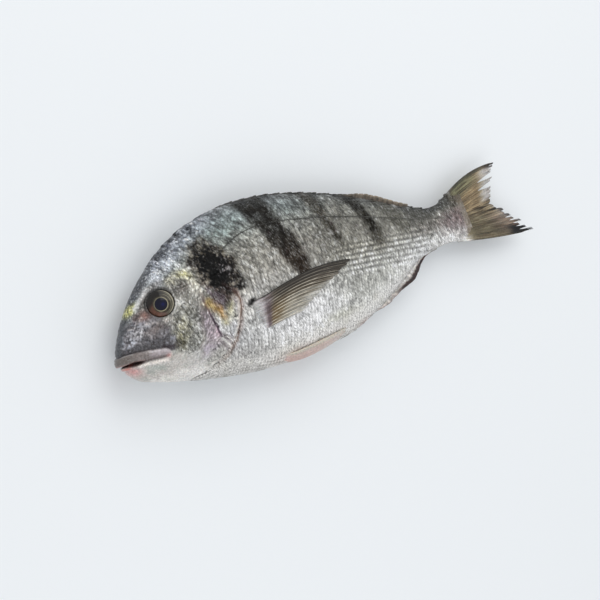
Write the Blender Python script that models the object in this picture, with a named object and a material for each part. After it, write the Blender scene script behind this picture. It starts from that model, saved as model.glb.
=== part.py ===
"""A whole raw gilt-head sea bream, lying on its right flank.

The fish is laid out in its own frame: the snout is at the origin, +X runs to the tail, +Y to the
back and +Z out of the left flank, so the fish's middle plane is z = 0. The empty at the end moves
everything so that the frame's origin is the middle of the bounding box's underside.
"""

import math

import bmesh
import bpy
import numpy as np
from mathutils import Matrix, Vector

TAU = 2 * math.pi

# Driving dimensions of the fish.
STANDARD_LENGTH = 0.245          # snout to the end of the fleshy tail stalk
REST_DEPTH = 0.0182              # the pressed flank's distance from the middle plane
TAIL_SAG = 0.004                 # how far the tail stalk has dropped at the standard length
SAG_START = 0.110
JOINT_GAP = 0.0004               # air between the body and each fin and eye

# The body's stations along its length. Each row is a share of the standard length:
# place, height of the back, depth of the belly, half of the width, and height of the widest point.
STATIONS = (
    (0.000, 0.009, -0.032, 0.021, -0.010),
    (0.015, 0.032, -0.044, 0.031, -0.008),
    (0.045, 0.076, -0.064, 0.044, 0.000),
    (0.085, 0.119, -0.082, 0.053, 0.012),
    (0.140, 0.163, -0.101, 0.063, 0.026),
    (0.210, 0.203, -0.122, 0.074, 0.038),
    (0.290, 0.229, -0.142, 0.081, 0.046),
    (0.370, 0.237, -0.154, 0.084, 0.046),
    (0.460, 0.229, -0.160, 0.082, 0.040),
    (0.560, 0.205, -0.157, 0.073, 0.030),
    (0.660, 0.167, -0.133, 0.060, 0.021),
    (0.760, 0.121, -0.094, 0.043, 0.013),
    (0.850, 0.072, -0.057, 0.027, 0.005),
    (0.920, 0.049, -0.053, 0.018, -0.004),
    (0.982, 0.056, -0.062, 0.010, -0.004),
)
BODY_END = STATIONS[-1][0]
FULL_RELIEF_WIDTH = 0.012         # where the fish is thinner, the skin's relief is lower
SNOUT_ROUNDING = 0.016           # share of the length over which the snout closes
BACK_KEENNESS = 1.22             # 1 is an elliptical half section, more is a sharper ridge
BELLY_KEENNESS = 1.06
HEAD_RINGS = 23
TRUNK_RINGS = 31
RING_POINTS = 38
HEAD_CROWDING = 1.25             # above 1 crowds the rings towards the snout

# Gill cover: its rear edge lies furthest back at mid height and sweeps forward to the throat.
GILL_EDGE_X = 0.0740
GILL_SWEEP = 0.0400
GILL_TOP_Y = 0.0130              # above this the cover's edge fades into the nape
GILL_TOP_FADE = 0.0100
GILL_STEP = 0.0012
GILL_STEP_WIDTH = 0.0010
GILL_PLATE_FADE = 0.020
GILL_CREASE = 0.0006
GILL_CREASE_FADE = 0.006
GILL_WARP_REACH = 0.130          # behind the edge, where the rings run straight again

# Eyes.
EYE_CENTRE = Vector((0.0330, 0.0200, 0.0094))
EYE_AXIS = Vector((-0.30, 0.16, 0.94)).normalized()
EYE_RADIUS = 0.0081
EYE_DEPTH = 0.0062               # half of the eyeball's thickness along its axis
ORBIT_SWELL = 0.0009
ORBIT_REACH = 0.0125

# Mouth.
MOUTH_FRONT = (0.0, -0.0046)
MOUTH_CORNER = (0.0252, -0.0079)
MOUTH_SLIT = 0.0007
MOUTH_DEPTH = 0.0045

# Fins.
PECTORAL_ROOT_TOP = (0.0789, 0.0020)
PECTORAL_ROOT_LOW = (0.0814, -0.0144)
PECTORAL_LENGTH = 0.0700
PECTORAL_SHORTEST = 0.0240
PECTORAL_RAYS = 12
PECTORAL_ROOT_THICKNESS = 0.0015
PECTORAL_EDGE_THICKNESS = 0.0007
RIGHT_PECTORAL_SWEEP = math.radians(-21)
PECTORAL_POCKET = 0.0024         # how deep the pressed fin lies in the right flank
POCKET_INNER = 0.0125
POCKET_OUTER = 0.0175

PELVIC_ROOT_X = 0.0900
PELVIC_LENGTH = 0.0490
PELVIC_ROOT_ANGLE = math.radians(-58)
PELVIC_TIP_ANGLE = math.radians(-80)
PELVIC_RAYS = 6
PELVIC_ROOT_THICKNESS = 0.0030
PELVIC_EDGE_THICKNESS = 0.0010

DORSAL_START = 0.345             # shares of the standard length
DORSAL_SOFT = 0.690
DORSAL_END = 0.855
DORSAL_SPINES = 11
DORSAL_SPINE_HEIGHT = 0.0017
DORSAL_SOFT_HEIGHT = 0.0025
ANAL_START = 0.655
ANAL_END = 0.850
ANAL_SPINES = 3
ANAL_HEIGHT = 0.0048
RIDGE_ROWS = 2
FIN_ROOT_THICKNESS = 0.0026
FIN_EDGE_THICKNESS = 0.0009

CAUDAL_ROOT_X = 0.2411
CAUDAL_ROOT_HALF = 0.0140
CAUDAL_ROOT_Y = -0.0008
CAUDAL_ROOT_THICKNESS = 0.0042
CAUDAL_EDGE_THICKNESS = 0.0008
CAUDAL_UPPER_SPREAD = math.radians(38)
CAUDAL_LOWER_SPREAD = math.radians(24)
CAUDAL_UPPER_CURL = 0.66         # how far the outermost rays turn back towards the fish's line
CAUDAL_LOWER_CURL = 0.46
CAUDAL_FORK_LENGTH = 0.0270
CAUDAL_UPPER_LOBE = 0.0440
CAUDAL_LOWER_LOBE = 0.0560
CAUDAL_RAYS = 15


def smooth_curve(xs, ys):
    """A function through the given points that never overshoots them (monotone cubic)."""
    xs, ys = np.asarray(xs, float), np.asarray(ys, float)
    steps = np.diff(xs)
    slopes = np.diff(ys) / steps
    tangents = np.zeros_like(ys)
    rising = slopes[:-1] * slopes[1:] > 0
    before, after = 2 * steps[1:] + steps[:-1], steps[1:] + 2 * steps[:-1]
    blended = (before + after) / (before / np.where(rising, slopes[:-1], 1)
                                  + after / np.where(rising, slopes[1:], 1))
    tangents[1:-1] = np.where(rising, blended, 0)
    tangents[0], tangents[-1] = slopes[0], slopes[-1]

    def value(x):
        i = int(np.clip(np.searchsorted(xs, x) - 1, 0, len(steps) - 1))
        t = (x - xs[i]) / steps[i]
        rise = ys[i + 1] - ys[i]
        start, end = tangents[i] * steps[i], tangents[i + 1] * steps[i]
        return ys[i] + t * start + t * t * (3 * rise - 2 * start - end) + t ** 3 * (start + end - 2 * rise)

    return value


def smooth_step(low, high, value):
    """0 below low, 1 above high, and an S-shaped blend between them."""
    t = min(max((value - low) / (high - low), 0.0), 1.0)
    return t * t * (3 - 2 * t)


COLUMNS = tuple(zip(*STATIONS))
BACK, BELLY, HALF_WIDTH, WIDEST = (smooth_curve(COLUMNS[0], column) for column in COLUMNS[1:])


def section(x):
    """Heights of the back, belly and widest point, and the half width, of the section at x."""
    share = min(max(x / STANDARD_LENGTH, 0.0), BODY_END)
    widest = WIDEST(share) * STANDARD_LENGTH
    closing = min(share / SNOUT_ROUNDING, 1.0)
    close = math.sqrt(max(1 - (1 - closing) ** 2, 0.0))
    back = widest + (BACK(share) * STANDARD_LENGTH - widest) * close
    belly = widest + (BELLY(share) * STANDARD_LENGTH - widest) * close
    return back, belly, widest, HALF_WIDTH(share) * STANDARD_LENGTH * close


def sag(x):
    """How far the middle plane has dropped at x."""
    return -TAIL_SAG * max((x - SAG_START) / (STANDARD_LENGTH - SAG_START), 0.0) ** 2


def gill_edge(angle):
    """The x of the gill cover's rear edge at a skin angle."""
    return GILL_EDGE_X - GILL_SWEEP * min(math.sin(angle), 0.0) ** 2


def ring_x(place, angle):
    """Where a ring crosses a skin angle: the rings bend so that they run along the gill edge."""
    if place < GILL_EDGE_X:
        follow = (place / GILL_EDGE_X) ** 1.5
    else:
        follow = 1 - smooth_step(GILL_EDGE_X, GILL_EDGE_X + GILL_WARP_REACH, place)
    return place - (GILL_EDGE_X - gill_edge(angle)) * follow


def pocket_mask(x, y):
    """1 where the right pectoral fin is pressed into the flank, 0 away from it."""
    root = Vector(((PECTORAL_ROOT_TOP[0] + PECTORAL_ROOT_LOW[0]) / 2,
                   (PECTORAL_ROOT_TOP[1] + PECTORAL_ROOT_LOW[1]) / 2))
    along = Vector((math.cos(RIGHT_PECTORAL_SWEEP), math.sin(RIGHT_PECTORAL_SWEEP)))
    reach = min(max((Vector((x, y)) - root).dot(along), 0.0), PECTORAL_LENGTH)
    distance = (Vector((x, y)) - root - along * reach).length
    return 1 - smooth_step(POCKET_INNER, POCKET_OUTER, distance)


def relief(x, y, angle):
    """How far the skin stands out of the plain section: gill cover and eye rim."""
    ahead = gill_edge(angle) - x
    plate = smooth_step(-GILL_STEP_WIDTH / 2, GILL_STEP_WIDTH / 2, ahead)
    raised = GILL_STEP * plate * math.exp(-max(ahead, 0.0) / GILL_PLATE_FADE)
    crease = GILL_CREASE * (1 - plate) * math.exp(min(ahead, 0.0) / GILL_CREASE_FADE)
    gill = (raised - crease) * (1 - smooth_step(GILL_TOP_Y, GILL_TOP_Y + GILL_TOP_FADE, y))
    from_eye = math.hypot(x - EYE_CENTRE.x, y - EYE_CENTRE.y) / ORBIT_REACH
    return gill + ORBIT_SWELL * math.exp(-from_eye ** 4)


def raw_skin(x, angle):
    """A point of the skin before the flank is pressed flat. Angle 0 is left and 90 degrees up."""
    back, belly, widest, half = section(x)
    up, out = math.sin(angle), math.cos(angle)
    keenness = BACK_KEENNESS if up > 0 else BELLY_KEENNESS
    y = widest + up * ((back - widest) if up > 0 else (widest - belly))
    side = math.copysign(1.0, out)
    reach = half * abs(out) ** keenness
    flat = smooth_step(0.0, 0.5, abs(out))
    return Vector((x, y, side * (reach + relief(x, y, angle) * flat * min(half / FULL_RELIEF_WIDTH, 1.0))))


def skin(x, angle):
    """A point of the finished skin: pressed flat underneath, and with the tail's sag."""
    point = raw_skin(x, angle)
    floor = -REST_DEPTH + PECTORAL_POCKET * pocket_mask(point.x, point.y)
    point.z = max(point.z + sag(x), floor)
    return point


def lifted(x, angle, height):
    """A point at a height above the skin, along the plain section's outward direction."""
    step = 0.0005
    along = raw_skin(x + step, angle) - raw_skin(x - step, angle)
    across = raw_skin(x, angle + 0.02) - raw_skin(x, angle - 0.02)
    return skin(x, angle) + across.cross(along).normalized() * -height


def angle_at(x, y, side):
    """The skin angle whose point at x has the height y, on the left (1) or right (-1) flank."""
    back, belly, widest, _ = section(x)
    span = (back - widest) if y > widest else (widest - belly)
    angle = math.asin(min(max((y - widest) / span, -1.0), 1.0))
    return angle if side > 0 else math.pi - angle


def closed_mesh(name, points, faces):
    """An object from points and faces, with its faces turned outwards and shaded smooth."""
    mesh = bpy.data.meshes.new(name)
    mesh.from_pydata([tuple(p) for p in points], [], faces)
    model = bmesh.new()
    model.from_mesh(mesh)
    bmesh.ops.remove_doubles(model, verts=model.verts, dist=1e-6)
    bmesh.ops.recalc_face_normals(model, faces=model.faces)
    model.to_mesh(mesh)
    model.free()
    mesh.shade_smooth()
    mesh.set_sharp_from_angle(angle=math.radians(50))
    obj = bpy.data.objects.new(name, mesh)
    bpy.context.scene.collection.objects.link(obj)
    return obj


def sheet_solid(name, grid, normals, thickness):
    """A closed plate from a grid of mid-plane points, their normals and half thicknesses."""
    rows, columns = len(grid), len(grid[0])
    points = []
    for sign in (1, -1):
        for r in range(rows):
            points += [grid[r][c] + normals[r][c] * (sign * thickness[r][c]) for c in range(columns)]

    def index(layer, r, c):
        return layer * rows * columns + r * columns + c

    faces = []
    for r in range(rows - 1):
        for c in range(columns - 1):
            top = [index(0, r, c), index(0, r, c + 1), index(0, r + 1, c + 1), index(0, r + 1, c)]
            low = [index(1, r, c), index(1, r + 1, c), index(1, r + 1, c + 1), index(1, r, c + 1)]
            faces += [top, low]
    rim = [(0, c) for c in range(columns)] + [(r, columns - 1) for r in range(1, rows)]
    rim += [(rows - 1, c) for c in range(columns - 2, -1, -1)] + [(r, 0) for r in range(rows - 2, 0, -1)]
    for (r0, c0), (r1, c1) in zip(rim, rim[1:] + rim[:1]):
        faces.append([index(0, r1, c1), index(0, r0, c0), index(1, r0, c0), index(1, r1, c1)])
    return closed_mesh(name, points, faces)


def make_body():
    """The trunk and head: rings of skin points from the snout to the end of the tail stalk."""
    edge = GILL_EDGE_X - GILL_STEP_WIDTH / 2
    start, length = edge + GILL_STEP_WIDTH, BODY_END * STANDARD_LENGTH
    places = [edge * (i / HEAD_RINGS) ** HEAD_CROWDING for i in range(1, HEAD_RINGS + 1)]
    places += [start + (length - start) * i / (TRUNK_RINGS - 1) for i in range(TRUNK_RINGS)]
    points = [skin(0.0, 0.0)]
    for x in places:
        angles = (TAU * k / RING_POINTS for k in range(RING_POINTS))
        points += [skin(ring_x(x, angle), angle) for angle in angles]
    faces = []
    for k in range(RING_POINTS):
        after = (k + 1) % RING_POINTS
        faces.append((0, 1 + k, 1 + after))
        for i in range(len(places) - 1):
            ring = 1 + i * RING_POINTS
            faces.append((ring + k, ring + RING_POINTS + k, ring + RING_POINTS + after, ring + after))
    last = 1 + (len(places) - 1) * RING_POINTS
    end = sum((points[last + k] for k in range(RING_POINTS)), Vector()) / RING_POINTS
    points.append(end)
    faces += [(last + k, len(points) - 1, last + (k + 1) % RING_POINTS) for k in range(RING_POINTS)]
    return closed_mesh("body", points, faces)


def eye_matrix(side):
    """Places a unit sphere as the eyeball of the left (1) or right (-1) side."""
    axis = Vector((EYE_AXIS.x, EYE_AXIS.y, side * EYE_AXIS.z))
    turn = Vector((0, 0, 1)).rotation_difference(axis).to_matrix().to_4x4()
    return Matrix.Translation((EYE_CENTRE.x, EYE_CENTRE.y, side * EYE_CENTRE.z)) @ turn


def make_eyeball(name, side, growth, segments, rings):
    """An eyeball, or with a growth the cutter of its socket."""
    mesh = bpy.data.meshes.new(name)
    model = bmesh.new()
    bmesh.ops.create_uvsphere(model, u_segments=segments, v_segments=rings, radius=1.0)
    size = Matrix.Diagonal((EYE_RADIUS + growth, EYE_RADIUS + growth, EYE_DEPTH + growth, 1))
    model.transform(eye_matrix(side) @ size)
    bmesh.ops.recalc_face_normals(model, faces=model.faces)
    model.to_mesh(mesh)
    model.free()
    mesh.shade_smooth()
    obj = bpy.data.objects.new(name, mesh)
    bpy.context.scene.collection.objects.link(obj)
    return obj


def make_mouth_cutter():
    """A thin blade that follows the mouth from the right corner round the snout to the left one."""
    stops = 9
    points = []
    for k in range(-stops, stops + 1):
        share = abs(k) / stops
        x = MOUTH_CORNER[0] * share ** 1.6
        y = MOUTH_FRONT[1] + (MOUTH_CORNER[1] - MOUTH_FRONT[1]) * share ** 1.5
        side = math.copysign(1.0, k) if k else 0.0
        spread = raw_skin(max(x, 0.0015), angle_at(max(x, 0.0015), y, 1)).z * math.sqrt(min(3 * share, 1.0))
        outward = Vector((-(1 - share) ** 1.5, 0, side * min(2.5 * share, 1.0))).normalized()
        at = Vector((x, y, side * spread))
        depth = MOUTH_DEPTH * (1 - 0.75 * share ** 3)
        for reach in (-depth, 0.004):
            for lift in (-MOUTH_SLIT / 2, MOUTH_SLIT / 2):
                points.append(at + outward * reach + Vector((0, lift, 0)))
    faces = []
    count = 2 * stops + 1
    for k in range(count - 1):
        a, b = 4 * k, 4 * (k + 1)
        faces += [(a, a + 1, b + 1, b), (a + 1, a + 3, b + 3, b + 1),
                  (a + 3, a + 2, b + 2, b + 3), (a + 2, a, b, b + 2)]
    faces += [(0, 2, 3, 1), (4 * count - 4, 4 * count - 3, 4 * count - 1, 4 * count - 2)]
    return closed_mesh("mouth_cutter", points, faces)


def cut(target, cutter):
    """Takes the cutter's shape out of the target and hides the cutter."""
    boolean = target.modifiers.new(cutter.name, "BOOLEAN")
    boolean.operation = "DIFFERENCE"
    boolean.object = cutter
    cutter.hide_render = True
    cutter.display_type = "WIRE"


def fan_thickness(share_along, rays, share_across, root, edge):
    """Half thickness of a rayed fin: thick at its root, and thicker on a ray than between rays."""
    plain = root + (edge - root) * min(share_along * 1.6, 1.0) ** 0.5
    on_ray = 0.5 + 0.5 * math.cos(TAU * share_across * rays)
    return plain * (0.72 + 0.28 * on_ray) / 2


def make_pectoral(name, side, sweep):
    """A folded pectoral fin lying on the flank: long upper rays, shorter ones below."""
    across, along = 2 * (PECTORAL_RAYS - 1), 7
    grid, normals, thickness = [], [], []
    for r in range(along + 1):
        row, row_normals, row_thickness = [], [], []
        reach = r / along
        for c in range(across + 1):
            share = c / across
            x = PECTORAL_ROOT_TOP[0] + (PECTORAL_ROOT_LOW[0] - PECTORAL_ROOT_TOP[0]) * share
            y = PECTORAL_ROOT_TOP[1] + (PECTORAL_ROOT_LOW[1] - PECTORAL_ROOT_TOP[1]) * share
            length = PECTORAL_SHORTEST + (PECTORAL_LENGTH - PECTORAL_SHORTEST) * (1 - share) ** 1.35
            course = sweep + math.radians(1.0) + math.radians(9) * share * (1 - 0.6 * reach)
            bow = 0.0022 * math.sin(math.pi * reach) * (1 - share)
            x += math.cos(course) * length * reach
            y += math.sin(course) * length * reach + bow
            half = fan_thickness(reach, PECTORAL_RAYS - 1, share,
                                 PECTORAL_ROOT_THICKNESS, PECTORAL_EDGE_THICKNESS)
            angle = angle_at(x, y, side)
            low, high = lifted(x, angle, JOINT_GAP), lifted(x, angle, JOINT_GAP + 2 * half)
            row.append((low + high) / 2)
            row_normals.append((high - low).normalized())
            row_thickness.append(half)
        grid.append(row)
        normals.append(row_normals)
        thickness.append(row_thickness)
    return sheet_solid(name, grid, normals, thickness)


def make_pelvic(name, side):
    """A folded pelvic fin: a narrow blade that lies back along the belly."""
    across, along = 2 * PELVIC_RAYS, 6
    grid, normals, thickness = [], [], []
    for r in range(along + 1):
        row, row_normals, row_thickness = [], [], []
        reach = r / along
        for c in range(across + 1):
            share = c / across
            x = PELVIC_ROOT_X + PELVIC_LENGTH * reach * (1 - 0.30 * share ** 1.5)
            middle = PELVIC_ROOT_ANGLE + (PELVIC_TIP_ANGLE - PELVIC_ROOT_ANGLE) * reach
            width = math.radians(11) * (0.55 + 1.1 * reach * (1 - reach) - 0.42 * reach)
            angle = middle + width * (1 - 2 * share)
            angle = angle if side > 0 else math.pi - angle
            half = fan_thickness(reach, PELVIC_RAYS, share, PELVIC_ROOT_THICKNESS, PELVIC_EDGE_THICKNESS)
            low, high = lifted(x, angle, JOINT_GAP), lifted(x, angle, JOINT_GAP + 2 * half)
            row.append((low + high) / 2)
            row_normals.append((high - low).normalized())
            row_thickness.append(half)
        grid.append(row)
        normals.append(row_normals)
        thickness.append(row_thickness)
    return sheet_solid(name, grid, normals, thickness)


def ridge_fin(name, start, end, height_at, upward, columns):
    """A low fin folded on the back (upward 1) or the belly (-1), with its free edge from height_at."""
    grid, normals, thickness = [], [], []
    angle = upward * math.pi / 2
    for r in range(RIDGE_ROWS + 1):
        rise = r / RIDGE_ROWS
        row = []
        for c in range(columns + 1):
            share = c / columns
            x = STANDARD_LENGTH * (start + (end - start) * share)
            root = skin(x, angle)
            lift = JOINT_GAP + height_at(share) * rise
            swept = height_at(share) * rise * 1.1
            row.append(root + Vector((swept, upward * lift, 0)))
        half = (FIN_ROOT_THICKNESS + (FIN_EDGE_THICKNESS - FIN_ROOT_THICKNESS) * rise) / 2
        grid.append(row)
        normals.append([Vector((0, 0, 1))] * (columns + 1))
        thickness.append([half] * (columns + 1))
    return sheet_solid(name, grid, normals, thickness)


def dorsal_height(share):
    """Height of the folded back fin: a low saw of spine tips, then a taller soft part."""
    soft_start = (DORSAL_SOFT - DORSAL_START) / (DORSAL_END - DORSAL_START)
    if share < soft_start:
        tooth = (share / soft_start * DORSAL_SPINES) % 1.0
        return DORSAL_SPINE_HEIGHT * (0.45 + 0.55 * tooth) * smooth_step(-0.02, 0.10, share)
    along = (share - soft_start) / (1 - soft_start)
    rise = DORSAL_SPINE_HEIGHT + (DORSAL_SOFT_HEIGHT - DORSAL_SPINE_HEIGHT) * smooth_step(0, 0.35, along)
    return rise * (1 - 0.45 * along ** 2)


def anal_height(share):
    """Height of the folded anal fin: short spines, then soft rays that stand off at the rear."""
    spines = 0.35
    if share < spines:
        tooth = (share / spines * ANAL_SPINES) % 1.0
        return ANAL_HEIGHT * (0.40 + 0.25 * tooth) * smooth_step(-0.05, 0.15, share)
    return ANAL_HEIGHT * (0.65 + 0.55 * smooth_step(spines, 1.0, share))


def make_caudal():
    """The tail fin: rays fan out of the tail stalk into two lobes with a fork between them."""
    across, along = 2 * CAUDAL_RAYS, 6
    grid, thickness = [], []
    for r in range(along + 1):
        reach = r / along
        row, row_thickness = [], []
        for c in range(across + 1):
            share = 1 - 2 * c / across
            lobe = CAUDAL_UPPER_LOBE if share > 0 else CAUDAL_LOWER_LOBE
            spread = CAUDAL_UPPER_SPREAD if share > 0 else CAUDAL_LOWER_SPREAD
            curl = CAUDAL_UPPER_CURL if share > 0 else CAUDAL_LOWER_CURL
            length = CAUDAL_FORK_LENGTH + (lobe - CAUDAL_FORK_LENGTH) * abs(share) ** 0.85
            course = spread * share * (1 - curl * reach * abs(share))
            x = CAUDAL_ROOT_X + math.cos(course) * length * reach
            y = CAUDAL_ROOT_Y + CAUDAL_ROOT_HALF * share + math.sin(course) * length * reach
            row.append(Vector((x, y, sag(x))))
            row_thickness.append(fan_thickness(reach, CAUDAL_RAYS, (share + 1) / 2,
                                               CAUDAL_ROOT_THICKNESS, CAUDAL_EDGE_THICKNESS))
        grid.append(row)
        thickness.append(row_thickness)
    normals = [[Vector((0, 0, 1))] * (across + 1)] * (along + 1)
    return sheet_solid("caudal_fin", grid, normals, thickness)


def paint(obj, colour, roughness, metallic):
    """Gives the object its own plain finish."""
    material = bpy.data.materials.new(obj.name)
    material.use_nodes = True
    shader = material.node_tree.nodes["Principled BSDF"]
    shader.inputs["Base Color"].default_value = (*colour, 1)
    shader.inputs["Roughness"].default_value = roughness
    shader.inputs["Metallic"].default_value = metallic
    obj.data.materials.append(material)


def stand_on_origin(objects):
    """Parents everything to an empty that puts the underside's middle at the world's origin."""
    bpy.context.view_layer.update()
    graph = bpy.context.evaluated_depsgraph_get()
    corners = []
    for obj in objects:
        if not obj.hide_render:
            corners += [tuple(corner) for corner in obj.evaluated_get(graph).bound_box]
    low, high = np.min(corners, axis=0), np.max(corners, axis=0)
    holder = bpy.data.objects.new("sea_bream", None)
    bpy.context.scene.collection.objects.link(holder)
    holder.location = (-(low[0] + high[0]) / 2, -(low[1] + high[1]) / 2, -low[2])
    for obj in objects:
        obj.parent = holder


def main():
    """Builds the fish: body with its sockets and mouth, eyes, and fins."""
    for obj in list(bpy.data.objects):
        bpy.data.objects.remove(obj, do_unlink=True)

    body = make_body()
    objects = [body]
    paint(body, (0.36, 0.36, 0.34), 0.30, 0.35)
    for side, word in ((1, "left"), (-1, "right")):
        socket = make_eyeball("eye_socket_" + word, side, JOINT_GAP, 20, 10)
        cut(body, socket)
        eye = make_eyeball("eye_" + word, side, 0.0, 18, 9)
        paint(eye, (0.02, 0.03, 0.06), 0.08, 0.0)
        objects += [socket, eye]
    mouth = make_mouth_cutter()
    cut(body, mouth)
    objects.append(mouth)

    fins = [
        make_pectoral("pectoral_fin_left", 1, 0.0),
        make_pectoral("pectoral_fin_right", -1, RIGHT_PECTORAL_SWEEP),
        make_pelvic("pelvic_fin_left", 1),
        make_pelvic("pelvic_fin_right", -1),
        ridge_fin("dorsal_fin", DORSAL_START, DORSAL_END, dorsal_height, 1, 50),
        ridge_fin("anal_fin", ANAL_START, ANAL_END, anal_height, -1, 20),
        make_caudal(),
    ]
    for fin in fins:
        paint(fin, (0.27, 0.24, 0.17), 0.45, 0.0)
    stand_on_origin(objects + fins)


main()
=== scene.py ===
"""Looks of a whole raw gilt-head sea bream that lies on its right flank.

The fish is laid out in its own frame, as its solids are: the snout is at the origin, +X runs to the
tail, +Y to the back and +Z out of the left flank. Anatomy.to_row moves a point into the shared frame.
Places on the flank that only colour it are given in millimetres of that same frame.
"""

import logging
import math
from dataclasses import dataclass, field
from enum import Enum

import bpy
import numpy as np
from mathutils import Matrix, Vector


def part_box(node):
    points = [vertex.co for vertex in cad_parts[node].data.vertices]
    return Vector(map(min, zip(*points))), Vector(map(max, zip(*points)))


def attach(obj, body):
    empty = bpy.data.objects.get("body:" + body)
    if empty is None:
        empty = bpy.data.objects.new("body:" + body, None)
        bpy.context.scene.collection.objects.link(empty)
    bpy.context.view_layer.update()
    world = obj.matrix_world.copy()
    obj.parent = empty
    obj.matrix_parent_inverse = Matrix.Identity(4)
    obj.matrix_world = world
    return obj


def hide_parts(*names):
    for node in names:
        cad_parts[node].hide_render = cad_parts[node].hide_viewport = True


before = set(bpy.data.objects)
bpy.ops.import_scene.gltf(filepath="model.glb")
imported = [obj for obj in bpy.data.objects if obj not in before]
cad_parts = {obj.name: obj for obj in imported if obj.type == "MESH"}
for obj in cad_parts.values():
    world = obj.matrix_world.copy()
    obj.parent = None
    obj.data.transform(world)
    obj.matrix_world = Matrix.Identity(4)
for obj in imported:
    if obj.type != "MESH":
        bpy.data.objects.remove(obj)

LOG = logging.getLogger("sea_bream")
TAU = 2 * math.pi
MM = 0.001
REST_GAP = 0.00006
Array = np.ndarray
Course = tuple[tuple[float, float], ...]


class Side(Enum):
    """The two flanks. The fish lies on the right one."""

    LEFT = 1
    RIGHT = -1


class Finish(Enum):
    """The record's material slots: skin, fin and eye."""

    SKIN = "skin"
    FIN = "fin"
    EYE = "eye"


# ---------------------------------------------------------------------------- small mathematics


def smooth_step(low: float | Array, high: float | Array, value: Array) -> Array:
    """0 below low, 1 above high, and an S-shaped blend between them.

    Args:
        low: Where the blend starts.
        high: Where it ends.
        value: The values to blend.

    Returns:
        The blend of each value.
    """
    t = np.clip((value - low) / (high - low), 0.0, 1.0)
    return t * t * (3 - 2 * t)


def band(value: Array, low: float | Array, high: float | Array, soft: float) -> Array:
    """1 between low and high, with soft borders.

    Args:
        value: The values to test.
        low: The band's lower border.
        high: The band's upper border.
        soft: Half the width of each soft border.

    Returns:
        The share of the band at each value.
    """
    return smooth_step(low - soft, low + soft, value) * (1 - smooth_step(high - soft, high + soft, value))


def spot(x: Array, y: Array, centre: tuple[float, float], radii: tuple[float, float],
         turn: float = 0.0, keen: float = 1.0) -> Array:
    """A soft oval.

    Args:
        x: Places along the fish.
        y: Heights on the flank.
        centre: The oval's middle.
        radii: Its two radii.
        turn: Degrees by which its first radius turns up from +X.
        keen: 1 is a soft hill, and more gives a flatter middle with a sharper border.

    Returns:
        1 in the middle, falling to 0 outside.
    """
    c, s = math.cos(math.radians(turn)), math.sin(math.radians(turn))
    u = ((x - centre[0]) * c + (y - centre[1]) * s) / radii[0]
    v = ((y - centre[1]) * c - (x - centre[0]) * s) / radii[1]
    return np.exp(-np.power(u * u + v * v, keen))


def away_from(x: Array, y: Array, course: Course) -> tuple[Array, Array]:
    """Distance from a course of straight runs, and how far along it the nearest point lies.

    Args:
        x: Places along the fish.
        y: Heights on the flank.
        course: The course's corners.

    Returns:
        The distances, and the shares of the course from 0 to 1.
    """
    best = np.full(np.shape(x), 1e9)
    share = np.zeros(np.shape(x))
    runs = list(zip(course, course[1:]))
    total = sum(math.dist(a, b) for a, b in runs)
    done = 0.0
    for (x0, y0), (x1, y1) in runs:
        run = math.dist((x0, y0), (x1, y1))
        t = np.clip(((x - x0) * (x1 - x0) + (y - y0) * (y1 - y0)) / run ** 2, 0, 1)
        far = np.hypot(x - x0 - t * (x1 - x0), y - y0 - t * (y1 - y0))
        nearer = far < best
        best = np.where(nearer, far, best)
        share = np.where(nearer, (done + t * run) / total, share)
        done += run
    return best, share


def stroke(x: Array, y: Array, course: Course, width: float) -> Array:
    """1 on a course, falling to 0 beside it.

    Args:
        x: Places along the fish.
        y: Heights on the flank.
        course: The course's corners.
        width: How far to the side the stroke reaches.

    Returns:
        The strength of the stroke.
    """
    return np.exp(-(away_from(x, y, course)[0] / width) ** 2)


def linear(colour: tuple[float, float, float] | Array) -> Array:
    """Turns display colours from 0 to 255 into linear ones.

    Args:
        colour: One colour, or an array of them.

    Returns:
        The linear colours, in an array of the same shape.
    """
    c = np.clip(np.asarray(colour, float) / 255.0, 0, 1)
    return np.where(c <= 0.04045, c / 12.92, ((c + 0.055) / 1.055) ** 2.4)


def over(base: Array, colour: tuple[float, float, float], amount: Array) -> Array:
    """Lays a colour over others.

    Args:
        base: The colours below, one row for each point.
        colour: The colour on top.
        amount: How much of it covers each point, from 0 to 1.

    Returns:
        The blended colours.
    """
    a = np.clip(amount, 0, 1)[:, None]
    return base * (1 - a) + np.asarray(colour, float) * a


@dataclass(frozen=True)
class SmoothCurve:
    """A curve through given points that never overshoots them (monotone cubic)."""

    xs: Array
    ys: Array

    def __call__(self, x: Array) -> Array:
        """The curve's height at each x."""
        xs, ys = np.asarray(self.xs, float), np.asarray(self.ys, float)
        steps = np.diff(xs)
        slopes = np.diff(ys) / steps
        tangents = np.zeros_like(ys)
        rising = slopes[:-1] * slopes[1:] > 0
        before, after = 2 * steps[1:] + steps[:-1], steps[1:] + 2 * steps[:-1]
        blended = (before + after) / (before / np.where(rising, slopes[:-1], 1)
                                      + after / np.where(rising, slopes[1:], 1))
        tangents[1:-1] = np.where(rising, blended, 0)
        tangents[0], tangents[-1] = slopes[0], slopes[-1]
        i = np.clip(np.searchsorted(xs, x) - 1, 0, len(steps) - 1)
        t = (x - xs[i]) / steps[i]
        rise = ys[i + 1] - ys[i]
        start, end = tangents[i] * steps[i], tangents[i + 1] * steps[i]
        return ys[i] + t * start + t ** 2 * (3 * rise - 2 * start - end) + t ** 3 * (start + end - 2 * rise)


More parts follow.
